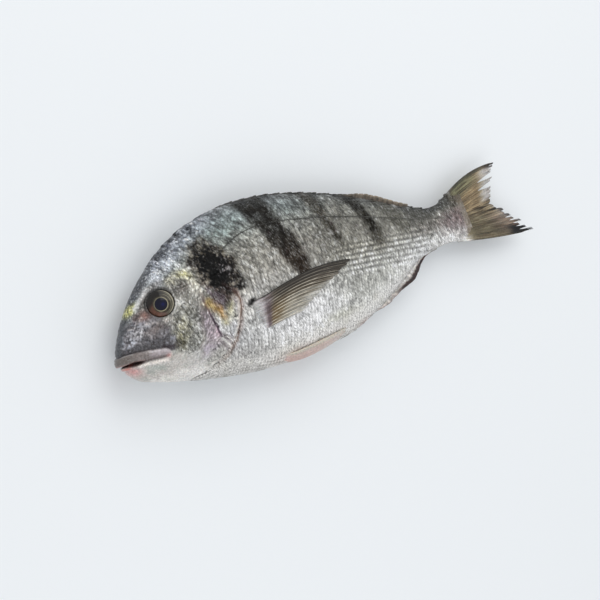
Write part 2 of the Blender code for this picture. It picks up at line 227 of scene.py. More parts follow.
@dataclass(frozen=True)
class Grain:
    """Smooth random values that depend only on the place and a seed."""

    seed: int = 1

    def lattice(self, corner: Array) -> Array:
        """A random value from 0 to 1 for each whole-number corner."""
        c = corner.astype(np.int64)
        h = (c[:, 0] * 374761393 + c[:, 1] * 668265263 + c[:, 2] * 2147483629 + self.seed * 974634777)
        h = h.astype(np.uint64) & np.uint64(0xFFFFFFFF)
        h = ((h ^ (h >> np.uint64(13))) * np.uint64(1274126177)) & np.uint64(0xFFFFFFFF)
        h = ((h ^ (h >> np.uint64(15))) * np.uint64(2246822519)) & np.uint64(0xFFFFFFFF)
        return (h ^ (h >> np.uint64(16))).astype(float) / 0xFFFFFFFF

    def __call__(self, points: Array, size: float | tuple[float, float, float]) -> Array:
        """Random values at points.

        Args:
            points: One row of three for each point.
            size: The size of the grain, along all axes or along each.

        Returns:
            Values from -1 to 1.
        """
        q = points / np.asarray(size, float)
        base = np.floor(q)
        t = q - base
        t = t * t * (3 - 2 * t)
        total = np.zeros(len(q))
        for corner in range(8):
            bits = np.array([corner & 1, corner >> 1 & 1, corner >> 2 & 1])
            weight = np.prod(np.where(bits, t, 1 - t), axis=1)
            total += weight * self.lattice(base + bits)
        return 2 * total - 1


# ---------------------------------------------------------------------------- the fish's form


@dataclass(frozen=True)
class Anatomy:
    """The body's form, with the sizes of its solids."""

    length: float = 0.245
    rest_depth: float = 0.0182
    rest_clearance: float = 0.00036
    tail_sag: float = 0.004
    sag_start: float = 0.110
    stations: tuple[tuple[float, ...], ...] = (
        (0.000, 0.009, -0.032, 0.021, -0.010),
        (0.015, 0.032, -0.044, 0.031, -0.008),
        (0.045, 0.076, -0.064, 0.044, 0.000),
        (0.085, 0.119, -0.082, 0.053, 0.012),
        (0.140, 0.163, -0.101, 0.063, 0.026),
        (0.210, 0.203, -0.122, 0.074, 0.038),
        (0.290, 0.229, -0.142, 0.081, 0.046),
        (0.370, 0.237, -0.154, 0.084, 0.046),
        (0.460, 0.229, -0.160, 0.082, 0.040),
        (0.560, 0.205, -0.157, 0.073, 0.030),
        (0.660, 0.167, -0.133, 0.060, 0.021),
        (0.760, 0.121, -0.094, 0.043, 0.013),
        (0.850, 0.072, -0.057, 0.027, 0.005),
        (0.920, 0.049, -0.053, 0.018, -0.004),
        (0.982, 0.056, -0.062, 0.010, -0.004),
    )
    snout_rounding: float = 0.016
    wedge_length: float = 0.0095
    stalk_dip: float = 0.0013
    stalk_x: float = 0.2290
    stalk_reach: float = 0.0085
    wedge_thinning: float = 0.66
    wedge_flare: tuple[float, float] = (0.30, 0.20)
    fill: float = 0.0013
    fill_x: float = 0.2392
    fill_reach: float = 0.0085
    back_keenness: float = 1.22
    belly_keenness: float = 1.06
    gill_edge_x: float = 0.0740
    gill_sweep: float = 0.0400
    gill_top_y: float = 0.0130
    gill_top_fade: float = 0.0100
    gill_step: float = 0.0012
    gill_plate_fade: float = 0.020
    gill_crease: float = 0.0006
    gill_crease_fade: float = 0.006
    gill_warp_reach: float = 0.130
    full_relief_width: float = 0.012
    eye_centre: tuple[float, float, float] = (0.0330, 0.0200, 0.0094)
    eye_axis: tuple[float, float, float] = (-0.30, 0.16, 0.94)
    orbit_swell: float = 0.0009
    orbit_reach: float = 0.0125
    pocket_root: tuple[float, float] = (0.08015, -0.0062)
    pocket_sweep: float = math.radians(-21)
    pocket_length: float = 0.070
    pocket_depth: float = 0.0024
    pocket_inner: float = 0.0125
    pocket_outer: float = 0.0175

    @property
    def end(self) -> float:
        """Where the body's last ring lies."""
        return self.stations[-1][0] * self.length

    def origin(self) -> Vector:
        """Where the fish frame's origin lies in the shared frame, taken from the eyes' solids."""
        middle = Vector()
        for node in ("eye_left", "eye_right"):
            low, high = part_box(node)
            middle += (low + high) / 4
        return middle - Vector((self.eye_centre[0], self.eye_centre[1], 0))

    def to_row(self, points: Array) -> Array:
        """Moves points of the fish frame into the shared frame."""
        return points + np.array(self.origin())

    def section(self, x: Array) -> tuple[Array, Array, Array, Array]:
        """Heights of back, belly and widest point, and the half width, of the section at x."""
        table = np.array(self.stations)
        share = np.clip(x / self.length, 0, table[-1, 0])
        back, belly, half, widest = (SmoothCurve(table[:, 0], table[:, k])(share) * self.length
                                     for k in (1, 2, 3, 4))
        closing = np.minimum(share / self.snout_rounding, 1)
        close = np.sqrt(np.maximum(1 - (1 - closing) ** 2, 0))
        back = back - self.stalk_dip * np.exp(-((x - self.stalk_x) / self.stalk_reach) ** 2)
        back = back + self.fill * np.exp(-((x - self.fill_x) / self.fill_reach) ** 2)
        beyond = np.maximum(x - self.end, 0)
        back, belly = back + self.wedge_flare[0] * beyond, belly - self.wedge_flare[1] * beyond
        half = half * (1 - self.wedge_thinning * smooth_step(0, self.wedge_length, beyond))
        return widest + (back - widest) * close, widest + (belly - widest) * close, widest, half * close

    def sag(self, x: Array) -> Array:
        """How far the middle plane has dropped at x."""
        return -self.tail_sag * np.maximum((x - self.sag_start) / (self.length - self.sag_start), 0) ** 2

    def gill_edge(self, angle: Array) -> Array:
        """The x of the gill cover's rear edge at a skin angle."""
        return self.gill_edge_x - self.gill_sweep * np.minimum(np.sin(angle), 0) ** 2

    def ring_x(self, place: Array, angle: Array) -> Array:
        """Where a ring crosses a skin angle: the rings bend to run along the gill edge."""
        before = (np.minimum(place, self.gill_edge_x) / self.gill_edge_x) ** 1.5
        behind = 1 - smooth_step(self.gill_edge_x, self.gill_edge_x + self.gill_warp_reach, place)
        follow = np.where(place < self.gill_edge_x, before, behind)
        return place - (self.gill_edge_x - self.gill_edge(angle)) * follow

    def gill_share(self, y: Array) -> Array:
        """1 beside the free edge of the gill cover, 0 up on the nape."""
        return 1 - smooth_step(self.gill_top_y, self.gill_top_y + self.gill_top_fade, y)

    def pocket(self, x: Array, y: Array) -> Array:
        """1 where the right pectoral fin is pressed into the flank."""
        c, s = math.cos(self.pocket_sweep), math.sin(self.pocket_sweep)
        u, v = x - self.pocket_root[0], y - self.pocket_root[1]
        reach = np.clip(u * c + v * s, 0, self.pocket_length)
        return 1 - smooth_step(self.pocket_inner, self.pocket_outer, np.hypot(u - c * reach, v - s * reach))

    def skin(self, x: Array, angle: Array, plate: Array | None = None) -> Array:
        """Points of the skin: pressed flat underneath, and with the tail's sag.

        Args:
            x: Places along the fish.
            angle: Skin angles: 0 is the left flank, a quarter turn is the back.
            plate: 1 on the gill cover and 0 behind it, or None to tell it from the place.

        Returns:
            One point for each place, in the fish frame.
        """
        back, belly, widest, half = self.section(x)
        up, out = np.sin(angle), np.cos(angle)
        y = widest + up * np.where(up > 0, back - widest, widest - belly)
        keen = np.where(up > 0, self.back_keenness, self.belly_keenness)
        reach = half * np.abs(out) ** keen
        ahead = self.gill_edge(angle) - x
        if plate is None:
            plate = smooth_step(-0.0005, 0.0005, ahead)
        raised = self.gill_step * plate * np.exp(-np.maximum(ahead, 0) / self.gill_plate_fade)
        crease = self.gill_crease * (1 - plate) * np.exp(-np.maximum(-ahead, 0) / self.gill_crease_fade)
        from_eye = np.hypot(x - self.eye_centre[0], y - self.eye_centre[1]) / self.orbit_reach
        relief = (raised - crease) * self.gill_share(y) + self.orbit_swell * np.exp(-from_eye ** 4)
        flat = smooth_step(0.0, 0.5, np.abs(out)) * np.minimum(half / self.full_relief_width, 1)
        z = np.sign(out) * (reach + relief * flat) + self.sag(x)
        floor = -self.rest_depth + self.rest_clearance + self.pocket_depth * self.pocket(x, y)
        soft = 0.0003
        z = floor + soft * np.logaddexp(0, (z - floor) / soft)
        return np.stack([x, y, z], axis=-1)

    def patch(self, x: Array, angle: Array, plate: Array | None = None) -> tuple[Array, Array, Array]:
        """Points of the skin with their outward normals and tailward directions."""
        step, turn = 0.0004, 0.012
        along = self.skin(x + step, angle, plate) - self.skin(x - step, angle, plate)
        across = self.skin(x, angle + turn, plate) - self.skin(x, angle - turn, plate)
        normal = np.cross(along, across)
        normal /= np.maximum(np.linalg.norm(normal, axis=-1, keepdims=True), 1e-12)
        along /= np.maximum(np.linalg.norm(along, axis=-1, keepdims=True), 1e-12)
        return self.skin(x, angle, plate), normal, along

    def angle_at(self, x: Array, y: Array, side: Side) -> Array:
        """The skin angle at x and a height y on one flank."""
        back, belly, widest, _ = self.section(x)
        span = np.where(y > widest, back - widest, widest - belly)
        angle = np.arcsin(np.clip((y - widest) / np.maximum(span, 1e-6), -1, 1))
        return angle if side is Side.LEFT else math.pi - angle

    def eye_frame(self, side: Side) -> tuple[Array, Array]:
        """The eye's centre and outward axis on one side."""
        flip = np.array([1, 1, side.value])
        axis = np.array(self.eye_axis) * flip
        return np.array(self.eye_centre) * flip, axis / np.linalg.norm(axis)

    def from_eye(self, points: Array) -> Array:
        """Distance of each point from the nearer eye's axis."""
        best = np.full(len(points), 1.0)
        for side in Side:
            centre, axis = self.eye_frame(side)
            offset = points - centre
            off_axis = np.linalg.norm(offset - (offset @ axis)[:, None] * axis, axis=1)
            same_side = points[:, 2] * side.value > 0
            best = np.where(same_side, off_axis, best)
        return best


@dataclass(frozen=True)
class Landmarks:
    """Lines on the head and flank, in millimetres of the fish frame."""

    mouth: Course = ((0.0, -3.9), (2.6, -4.0), (7.1, -4.4), (16.1, -5.8), (24.4, -7.6))
    lip_top: Course = ((0.0, 1.6), (3.1, 2.0), (9.2, 1.4), (15.7, 0.0), (25.5, -2.6), (27.6, -5.2))
    maxilla: Course = ((14.0, -2.6), (20.0, -3.4), (25.6, -5.0))
    preopercle: Course = ((53.4, 13.5), (53.9, 8.0), (54.3, 3.2), (55.3, -3.0), (56.1, -8.6))
    streak: Course = ((56.3, -10.0), (59.8, -15.7))
    rims: tuple[Course, ...] = (((56.0, -9.6), (57.6, -12.4), (59.9, -15.9)), ((58.8, -9.6), (60.2, -11.8), (62.0, -14.2)))
    lateral_tones: Course = ((75, 46), (130, 60), (190, 90), (234, 126))
    cheek_rim: Course = ((51.8, 10.0), (48.4, 1.8), (46.3, -4.0), (44.6, -9.2), (41.6, -15.5))
    gill: Course = ((71.2, 11.0), (73.2, 6.7), (72.4, 2.0), (70.9, -0.8), (68.9, -6.3), (64.8, -13.6),
                    (58.5, -19.8), (54.0, -22.4), (48.6, -25.7))
    brow: Course = ((19.5, 22.8), (24.0, 26.4), (29.6, 30.6), (36.0, 33.4))
    under_eye: Course = ((20.6, 13.4), (25.0, 11.4), (30.0, 10.6), (35.0, 11.6))
    nostril: Course = ((11.6, 13.7), (13.4, 13.2), (15.8, 15.0), (17.4, 15.8), (19.8, 17.2))
    lateral: Course = ((74.5, 34.2), (82.0, 37.6), (90.0, 39.7), (100.0, 40.4), (115.0, 38.4), (130.0, 34.8),
                       (146.6, 30.4), (163.5, 24.9), (180.0, 19.0), (195.0, 13.5), (210.0, 8.2), (241.0, -0.6))
    smooth_belly: Course = ((30.0, -17.0), (46.0, -21.5), (61.0, -24.5), (89.5, -29.9), (118.0, -28.6),
                            (147.7, -25.1), (170.1, -21.9), (192.8, -16.6), (222.0, -12.0), (243.0, -14.0))

    def height(self, course: Course, x: Array) -> Array:
        """The height of a course above each x."""
        xs, ys = zip(*course)
        return np.interp(x, xs, ys)


LINES = Landmarks()


@dataclass(frozen=True)
class HeadRelief:
    """What stands out of or is cut into the plain head, in millimetres."""

    slit_depth: float = 2.8
    slit_half: float = 0.42
    slit_gape: float = 0.75
    jaw_setback: float = 1.7
    upper_lip: float = 0.80
    lower_lip: float = 0.75
    socket_radius: float = 7.65
    socket_depth: float = 3.2
    grain: Grain = field(default_factory=lambda: Grain(11))

    def mouth_share(self, x: Array) -> Array:
        """1 along the mouth, 0 behind its corner."""
        return 1 - smooth_step(22.5, 25.2, x)

    def height(self, points: Array, eye: Array) -> Array:
        """How far the skin stands out at each point.

        Args:
            points: Points of the plain skin, in millimetres of the fish frame.
            eye: Each point's distance from its eye's axis, in millimetres.

        Returns:
            The heights, in millimetres.
        """
        x, y = points[:, 0], points[:, 1]
        mouth = LINES.height(LINES.mouth, x)
        jaw = self.mouth_share(x)
        half = self.slit_half * (1 - 0.55 * smooth_step(10, 23, x)) + self.slit_gape * np.exp(-((x - 6) / 4) ** 2)
        gap = (y - mouth + 0.3 * np.exp(-((x - 6) / 4) ** 2)) / half
        rise = -self.slit_depth * np.exp(-gap ** 2) * jaw * (1 - 0.72 * smooth_step(8, 14, x))
        below = 1 - smooth_step(-1.2, 0.4, y - mouth)
        rise -= self.jaw_setback * below * (1 - smooth_step(1.0, 9.0, x))
        upper = np.clip((y - mouth) / (LINES.height(LINES.lip_top, x) - mouth), 0, 1.4)
        lip_end = 1 - smooth_step(19.0, 25.0, x)
        rise += self.upper_lip * np.sin(np.pi * np.clip(upper, 0, 1)) ** 0.8 * lip_end
        rise -= 0.55 * np.exp(-((upper - 1.07) / 0.10) ** 2) * (1 - smooth_step(24, 28, x))
        lower = np.clip((mouth - y) / 2.9, 0, 1.6)
        rise += self.lower_lip * np.sin(np.pi * np.clip(lower, 0, 1)) * (1 - smooth_step(16, 24, x))
        rise -= 0.30 * np.exp(-((lower - 1.2) / 0.15) ** 2) * (1 - smooth_step(12, 22, x))
        rise += 0.55 * np.exp(-(away_from(x, y, LINES.maxilla)[0] / 1.5) ** 4)
        rise -= 0.45 * stroke(x, y, ((24.6, -1.8), (28.4, -4.4), (27.6, -8.0)), 0.7)
        wrinkles = self.grain(np.stack([x * 0.35, y * 1.6, points[:, 2] * 0.2], 1), 1.3)
        rise += 0.22 * wrinkles * (1 - smooth_step(26, 36, x)) * smooth_step(-7, -2, y) * (1 - smooth_step(12, 18, y))

        rise -= 1.0 * spot(x, y, (17.4, 18.6), (1.6, 0.9), 55, 1.5)
        rise -= 0.8 * spot(x, y, (14.0, 15.6), (0.9, 0.7), 0, 1.5)
        rise += 0.30 * stroke(x, y, LINES.nostril, 0.6)

        rise -= self.socket_depth * (1 - smooth_step(self.socket_radius - 0.7, self.socket_radius + 0.25, eye))
        rise += 0.35 * np.exp(-((eye - 8.4) / 0.5) ** 2)
        shaded = spot(x, y, (25.5, 26.0), (7.5, 5.5), 40)
        rise -= 0.90 * np.exp(-((eye - 9.4) / 1.1) ** 2) * shaded
        rise += 0.55 * stroke(x, y, LINES.brow, 1.1)
        rise -= 0.35 * stroke(x, y, LINES.under_eye, 0.7)

        rise -= 0.45 * stroke(x, y, LINES.preopercle, 0.45)
        rise += 0.35 * stroke(x, y, tuple((u - 1.2, v) for u, v in LINES.preopercle), 0.9)
        rise -= 0.22 * stroke(x, y, LINES.cheek_rim, 0.9)
        rise += 0.30 * stroke(x, y, LINES.streak, 0.35)
        edge, share = away_from(x, y, LINES.gill)
        rise -= 0.25 * np.exp(-((edge - 2.6) / 0.8) ** 2) * smooth_step(0.05, 0.15, share)
        folds = self.grain(np.stack([x * 0.5 - y, y * 0.5 + x, points[:, 2]], 1), 2.8)
        rise += 0.16 * folds * band(x, 6, 70, 4) + 0.06 * self.grain(points, 0.9)
        return rise


# ---------------------------------------------------------------------------- colours


@dataclass(frozen=True)
class Pigment:
    """The colours of the skin, laid over one another by place."""

    grain: Grain = field(default_factory=lambda: Grain(3))
    fleck: Grain = field(default_factory=lambda: Grain(29))
    exposure: float = 1.0

    def ground(self, x: Array, y: Array, anatomy: Anatomy) -> Array:
        """The plain shading from the back to the belly."""
        back, belly, widest, _ = (v / MM for v in anatomy.section(x * MM))
        rise = np.where(y > widest, (y - widest) / np.maximum(back - widest, 1e-6),
                        -(widest - y) / np.maximum(widest - belly, 1e-6))
        levels = (-1.0, -0.80, -0.55, -0.25, 0.0, 0.35, 0.65, 0.85, 1.0)
        front = np.array([(204, 199, 192), (236, 234, 230), (255, 255, 254), (220, 219, 214), (180, 177, 169),
                          (156, 153, 144), (146, 149, 144), (136, 142, 142), (96, 99, 100)], float)
        middle = np.array([(230, 228, 224), (226, 226, 222), (200, 200, 194), (178, 178, 172), (152, 150, 140),
                           (138, 136, 127), (128, 128, 121), (116, 118, 113), (92, 94, 92)], float)
        rear = np.array([(238, 238, 236), (232, 232, 229), (216, 216, 212), (182, 182, 177), (152, 151, 144),
                         (140, 139, 130), (130, 129, 121), (116, 116, 110), (88, 88, 84)], float)
        first, second = smooth_step(118, 150, x)[:, None], smooth_step(165, 200, x)[:, None]
        tones = [np.stack([np.interp(rise, levels, table[:, k]) for k in range(3)], 1)
                 for table in (front, middle, rear)]
        return (tones[0] * (1 - first) + tones[1] * first) * (1 - second) + tones[2] * second

    def streaks(self, points: Array) -> Array:
        """Brightness streaks that run down the columns of scales, from about -1 to 1."""
        lean = 0.26 + 0.30 * (1 - smooth_step(70, 120, points[:, 0])) * smooth_step(20, 34, points[:, 1])
        turned = np.stack([points[:, 0] + lean * points[:, 1], points[:, 1], points[:, 2] * 0.3], 1)
        return 0.9 * self.fleck(turned, (0.65, 2.3, 6.0)) + 0.3 * self.grain(turned, (1.6, 5.5, 9.0))

    def cross_band(self, x: Array, y: Array, course: tuple[tuple[float, float, float], ...], soft: float) -> Array:
        """A dark band across the flank.

        Args:
            x: Places along the fish.
            y: Heights on the flank.
            course: The band's height, front edge and rear edge, from its low end to its top.
            soft: Half the width of its soft borders.

        Returns:
            The strength of the band at each place.
        """
        heights, fronts, rears = zip(*course)
        inside = band(x, np.interp(y, heights, fronts), np.interp(y, heights, rears), soft)
        return inside * band(y, heights[0] - 1, heights[-1] + 8, 3.0)

    def tint(self, points: Array, anatomy: Anatomy, scaled: bool) -> Array:
        """The skin's colour at each point.

        Args:
            points: Points in millimetres of the fish frame.
            anatomy: The fish's form.
            scaled: Whether the colours are for scales, which show more streaks than skin and get painted highlight
                flecks.

        Returns:
            Display colours from 0 to 255, one row for each point.
        """
        px, py = points[:, 0], points[:, 1]
        coarse, fine = self.grain(points, 3.4), self.fleck(points, 1.5)
        streaks = self.streaks(points)
        x = px + 1.5 * coarse + 0.9 * fine
        y = py + 1.3 * self.fleck(points + 40, 2.6)
        c = self.ground(px, py + 1.5 * coarse, anatomy)
        head = 1 - smooth_step(66, 76, px)
        throat = (1 - smooth_step(72, 92, px)) * (1 - smooth_step(-8, 0, py))
        c = c * (1 - 0.19 * throat)[:, None]

        # Painted bluish sheen on the nape, a painted reflection of light from above; teal behind it, and the pale
        # shoulder.
        nape = smooth_step(26, 35, py - 0.25 * px) * (1 - smooth_step(62, 96, px))
        c = over(c, (184, 190, 200), 0.74 * nape)
        teal = 0.36 * spot(x, y, (84, 45), (18, 7), 8) + 0.16 * spot(x, y, (128, 43), (12, 5), -8)
        c = over(c, (112, 138, 136), np.clip(teal * (0.75 + 0.9 * streaks), 0, 1))
        c = over(c, (162, 160, 150), 0.45 * spot(x, y, (93, 26), (13, 13), 0, 1.4))
        c = over(c, (230, 227, 222), 0.80 * spot(x, y, (87, 8.5), (8.0, 4.5), 12) + 0.35 * spot(x, y, (97, 8), (7, 3)))
        c = over(c, (232, 228, 224), 0.85 * spot(x, y, (75.5, 3.5), (3.2, 5.5), 10))
        c = over(c, (255, 255, 254), 0.60 * spot(x, y, (114, -18), (24, 7), 2, 1.3))
        c = over(c, (184, 180, 170), 0.35 * spot(x, y, (98, 18), (10, 8), 0))

        c = c * (1 - 0.10 * band(px, 78, 150, 6) * band(py, 2, 34, 4))[:, None]

        # Cross bands of the trunk.
        one = self.cross_band(x, y, ((4, 114, 122), (13, 110, 121.5), (29, 104, 119.5), (47, 100, 116.5),
                                     (54, 98, 116)), 2.2)
        two = self.cross_band(x, y, ((13, 147, 150.5), (25, 142.5, 149), (40, 140.5, 148.5), (46, 139, 150)), 2.0)
        three = self.cross_band(x, y, ((2, 172, 178.5), (6, 171.5, 179), (20, 169.5, 178), (33, 166.5, 174.5),
                                       (37, 164.5, 174)), 2.2)
        four = self.cross_band(x, y, ((6, 193, 202), (12, 190.5, 202), (24, 184, 197)), 2.6)
        patchy = np.clip(0.90 + 0.35 * self.grain(points + 90, 2.3) + 0.70 * streaks, 0, 1.08)
        c = over(c, (14, 11, 6), 0.96 * one * patchy * smooth_step(0, 14, y + 4))
        c = over(c, (78, 60, 46), 0.40 * one * (1 - smooth_step(12, 34, y)))
        c = over(c, (44, 40, 32), 0.74 * two * patchy)
        c = over(c, (20, 17, 10), 0.95 * three * patchy * (1 - 0.45 * (1 - smooth_step(6, 14, y))))
        c = over(c, (60, 58, 48), 0.46 * four * patchy)
        c = over(c, (70, 72, 70), 0.30 * spot(x, y, (108, 54), (16, 4.5), 0) * patchy)
        c = over(c, (56, 56, 53), 0.62 * band(px, 203, 240, 5) * smooth_step(4.5, 9.5, y) * patchy)
        c = over(c, (90, 84, 74), 0.30 * spot(x, y, (158, 33), (7, 8), -20) * patchy)

        # Bright rows of scales along the rear flank.
        rows = np.cos(TAU * (py + 0.35 * coarse - 9.6 + 0.175 * (px - 150)) / 3.2)
        striped = band(px, 143, 216, 8) * band(py + 0.14 * (px - 150), -8, 11.5, 2)
        c = c * (1 + (0.46 * np.maximum(rows, 0) - 0.26 * np.maximum(-rows, 0)) * striped * (1 + 0.6 * streaks))[:, None]
        c = over(c, (186, 186, 160), 0.40 * spot(x, y, (134, -26), (12, 3), -4))

        # Tail stalk, which runs out into the tail fin.
        c = over(c, (112, 106, 102), 0.66 * spot(x, y, (215, 1.5), (12, 4.2), -6) * patchy)
        c = over(c, (132, 114, 116), 0.66 * spot(x, y, (235, -1), (10, 8)) * (1 - smooth_step(3, 8, y)))
        c = over(c, (238, 236, 234), 0.66 * spot(x, y, (228, -11), (14, 4)))
        c = over(c, (112, 88, 88), 0.50 * spot(x, y, (243, -2), (4.5, 9)))
        c = over(c, (66, 61, 50), 0.80 * smooth_step(236, 243, x) * smooth_step(4, 9, y))
        c = over(c, (118, 106, 90), 0.80 * smooth_step(243.5, 249.5, x + 0.15 * np.abs(py)) * (0.85 + 0.6 * fine))

        # Lateral line.
        line = np.abs(py - LINES.height(LINES.lateral, px)) / 0.5
        c = over(c, (66, 66, 60), 0.55 * np.exp(-line ** 2) * smooth_step(73, 78, px) * (1 - smooth_step(225, 240, px)))
        c = self.head_colours(c, points, (x, y), head, streaks, anatomy)

        # Smooth belly, vent and the pink round the fins' roots.
        belly = 1 - smooth_step(-2.0, 2.5, y - LINES.height(LINES.smooth_belly, px))
        c = over(c, (244, 242, 238), 0.76 * belly * (0.85 + 0.25 * coarse))
        c = over(c, (206, 204, 192), 0.36 * belly * smooth_step(0.0, 0.7, self.grain(points + 300, 5.0)))
        c = over(c, (196, 160, 154), 0.75 * spot(px, py, (151, -37.5), (5, 3)))
        c = over(c, (12, 10, 10), 0.96 * spot(px, py, (79.4, 2.2), (3.0, 1.5), 24, 2))
        c = over(c, (206, 184, 174), 0.50 * spot(px, py, (98, -35), (11, 3.2)))
        if scaled:
            low_belly = 1 - smooth_step(-30, -8, py)
            quiet = (1 - 0.80 * belly) * (1 - 0.55 * low_belly)
            upper = smooth_step(18, 34, py) * (1 - smooth_step(150, 190, px))
            c = c * (1 + (0.34 + 0.34 * upper) * streaks * quiet)[:, None]
            # Painted highlight: light flecks on the brighter scales, where the streaks are strongest.
            painted_glint = quiet * smooth_step(40, 90, np.mean(c, axis=1))
            c = over(c, (214, 218, 222), 0.45 * painted_glint * smooth_step(0.42, 0.75, streaks))
        return np.clip(c * self.exposure, 0, 255)

    def head_colours(self, c: Array, points: Array, rough: tuple[Array, Array], head: Array, streaks: Array,
                     anatomy: Anatomy) -> Array:
        """Lays the head's colours over the ground.

        Args:
            c: The colours so far.
            points: Points in millimetres of the fish frame.
            rough: Their places and heights, moved about by noise for ragged borders.
            head: 1 on the head, 0 on the trunk.
            streaks: Brightness streaks at the points.
            anatomy: The fish's form.

        Returns:
            The colours.
        """
        px, py = points[:, 0], points[:, 1]
        x, y = rough
        fine = self.fleck(points + 17, 0.8)
        soft = self.grain(points + 170, 2.2)
        tiny = self.fleck(points + 77, 0.55)
        profile = anatomy.section(px * MM)[0] / MM - py
        above_lip = smooth_step(-1.0, 1.0, py - LINES.height(LINES.lip_top, px))

        # Grey cheek with fine speckles, slate snout with painted wet glints, dark front profile, and a painted
        # highlight on the forehead.
        c = over(c, (150, 150, 143), 0.70 * head * band(py, -12, 24, 5) * band(px, 28, 52, 4))
        c = over(c, (52, 50, 46), 0.84 * spot(x, y, (42.4, 24.0), (4.8, 4.6), 0))
        c = over(c, (100, 96, 88), 0.50 * spot(x, y, (45.0, 15.5), (6.5, 5.0), 20) * smooth_step(-0.5, 0.4, fine))
        c = over(c, (74, 68, 70), 0.70 * spot(x, y, (51.4, 6.0), (3.4, 6.5), 0) * (0.8 + 0.5 * fine))
        snout = (1 - smooth_step(29, 36, x + 0.35 * y)) * above_lip * (1 - smooth_step(13, 19, y - 0.15 * px))
        c = over(c, (78, 76, 80), 0.94 * snout)
        glint = smooth_step(0.05, 0.75, 0.7 * soft + 0.5 * fine + 0.3 * self.grain(points, 4.5))
        c = over(c, (178, 182, 194), 0.55 * snout * glint)
        # Painted highlights of the wet snout: diagonal light streaks and pale bluish patches.
        swept = smooth_step(0.0, 0.7, self.grain(np.stack([x * 0.30 + y * 0.25, y, 0 * x], 1), 1.5))
        c = over(c, (168, 164, 166), 0.50 * snout * swept * smooth_step(1, 6, y))
        c = over(c, (204, 210, 222), 0.70 * spot(x, y, (8.5, 7.0), (3.8, 4.2), 60) * smooth_step(-0.6, 0.3, fine + 0.5 * soft))
        c = over(c, (204, 202, 204), 0.80 * spot(x, y, (15.5, 10.6), (6.5, 3.6), 20) * smooth_step(-0.5, 0.3, fine))
        c = over(c, (84, 80, 80), 0.60 * spot(x, y, (29.0, 7.8), (6.0, 3.0), 0))
        c = over(c, (60, 56, 58), 0.60 * spot(x, y, (22, 3.8), (7, 3.4), 0) * smooth_step(-0.4, 0.6, -fine))
        near_lip = 1 - smooth_step(1.5, 4.5, py - LINES.height(LINES.lip_top, px))
        c = over(c, (56, 53, 55), 0.62 * snout * near_lip * (0.8 + 0.6 * soft))
        c = over(c, (130, 112, 104), 0.40 * spot(x, y, (24, 8.6), (6, 2.2), 12))
        front = (1 - smooth_step(1.4, 4.6, profile + 1.3 * self.grain(points, 2.0))) * (1 - smooth_step(58, 76, px))
        c = over(c, (66, 68, 72), 0.85 * front * smooth_step(-2, 2, py))
        dots = smooth_step(0.05, 0.40, self.fleck(points + 60, 0.85)) * (1 - smooth_step(3, 18, profile))
        c = over(c, (54, 58, 68), 0.70 * dots * head * smooth_step(20, 27, py))
        # Painted highlight: bluish-white light on the forehead.
        c = over(c, (220, 226, 238), 0.80 * spot(x, y, (38, 35.8), (11, 3.4), 43) + 0.50 * spot(x, y, (50, 41), (10, 3), 30))
        c = over(c, (72, 73, 76), 0.72 * spot(x, y, (29, 34.0), (9, 2.2), 44) * (0.8 + 0.5 * fine))

        # Brow streak, yellow patch above the snout, red in front of the eye, and painted shadow in the hollow above it.
        c = over(c, (50, 44, 38), 0.85 * spot(px, py, (25.4, 25.6), (6.2, 2.4), 42, 1.5))
        c = over(c, (52, 46, 42), 0.60 * spot(px, py, (33, 30.6), (5.5, 1.8), 8, 1.2))
        brow = stroke(px, py, ((19.0, 22.6), (24.0, 26.6), (29.4, 30.4)), 1.1)
        c = over(c, (196, 198, 196), 0.65 * stroke(px, py, ((30.0, 31.0), (36.0, 34.4), (42.0, 37.6)), 1.6) * (0.6 + 0.8 * fine))
        patch = spot(px, py, (17.0, 23.0), (4.6, 1.9), 35, 1.6)
        c = over(c, (188, 184, 98), 0.88 * patch * np.clip(0.9 + 0.8 * tiny, 0, 1))
        c = over(c, (222, 218, 176), 0.60 * patch * smooth_step(0.3, 0.7, fine))
        c = over(c, (136, 96, 84), 0.72 * spot(px, py, (21.6, 18.0), (4.0, 2.8), 20, 1.2))
        # Painted shade inside the nostril's pit.
        c = over(c, (70, 52, 50), 0.80 * spot(px, py, (17.0, 18.6), (2.2, 1.2), 52, 1.4))
        # Painted highlight along the nostril's fold.
        c = over(c, (214, 206, 200), 0.55 * stroke(px, py, LINES.nostril, 0.5) * smooth_step(-0.6, 0.2, fine))
        c = over(c, (200, 190, 182), 0.55 * stroke(px, py, LINES.under_eye, 0.8) * smooth_step(-0.7, 0.1, fine))

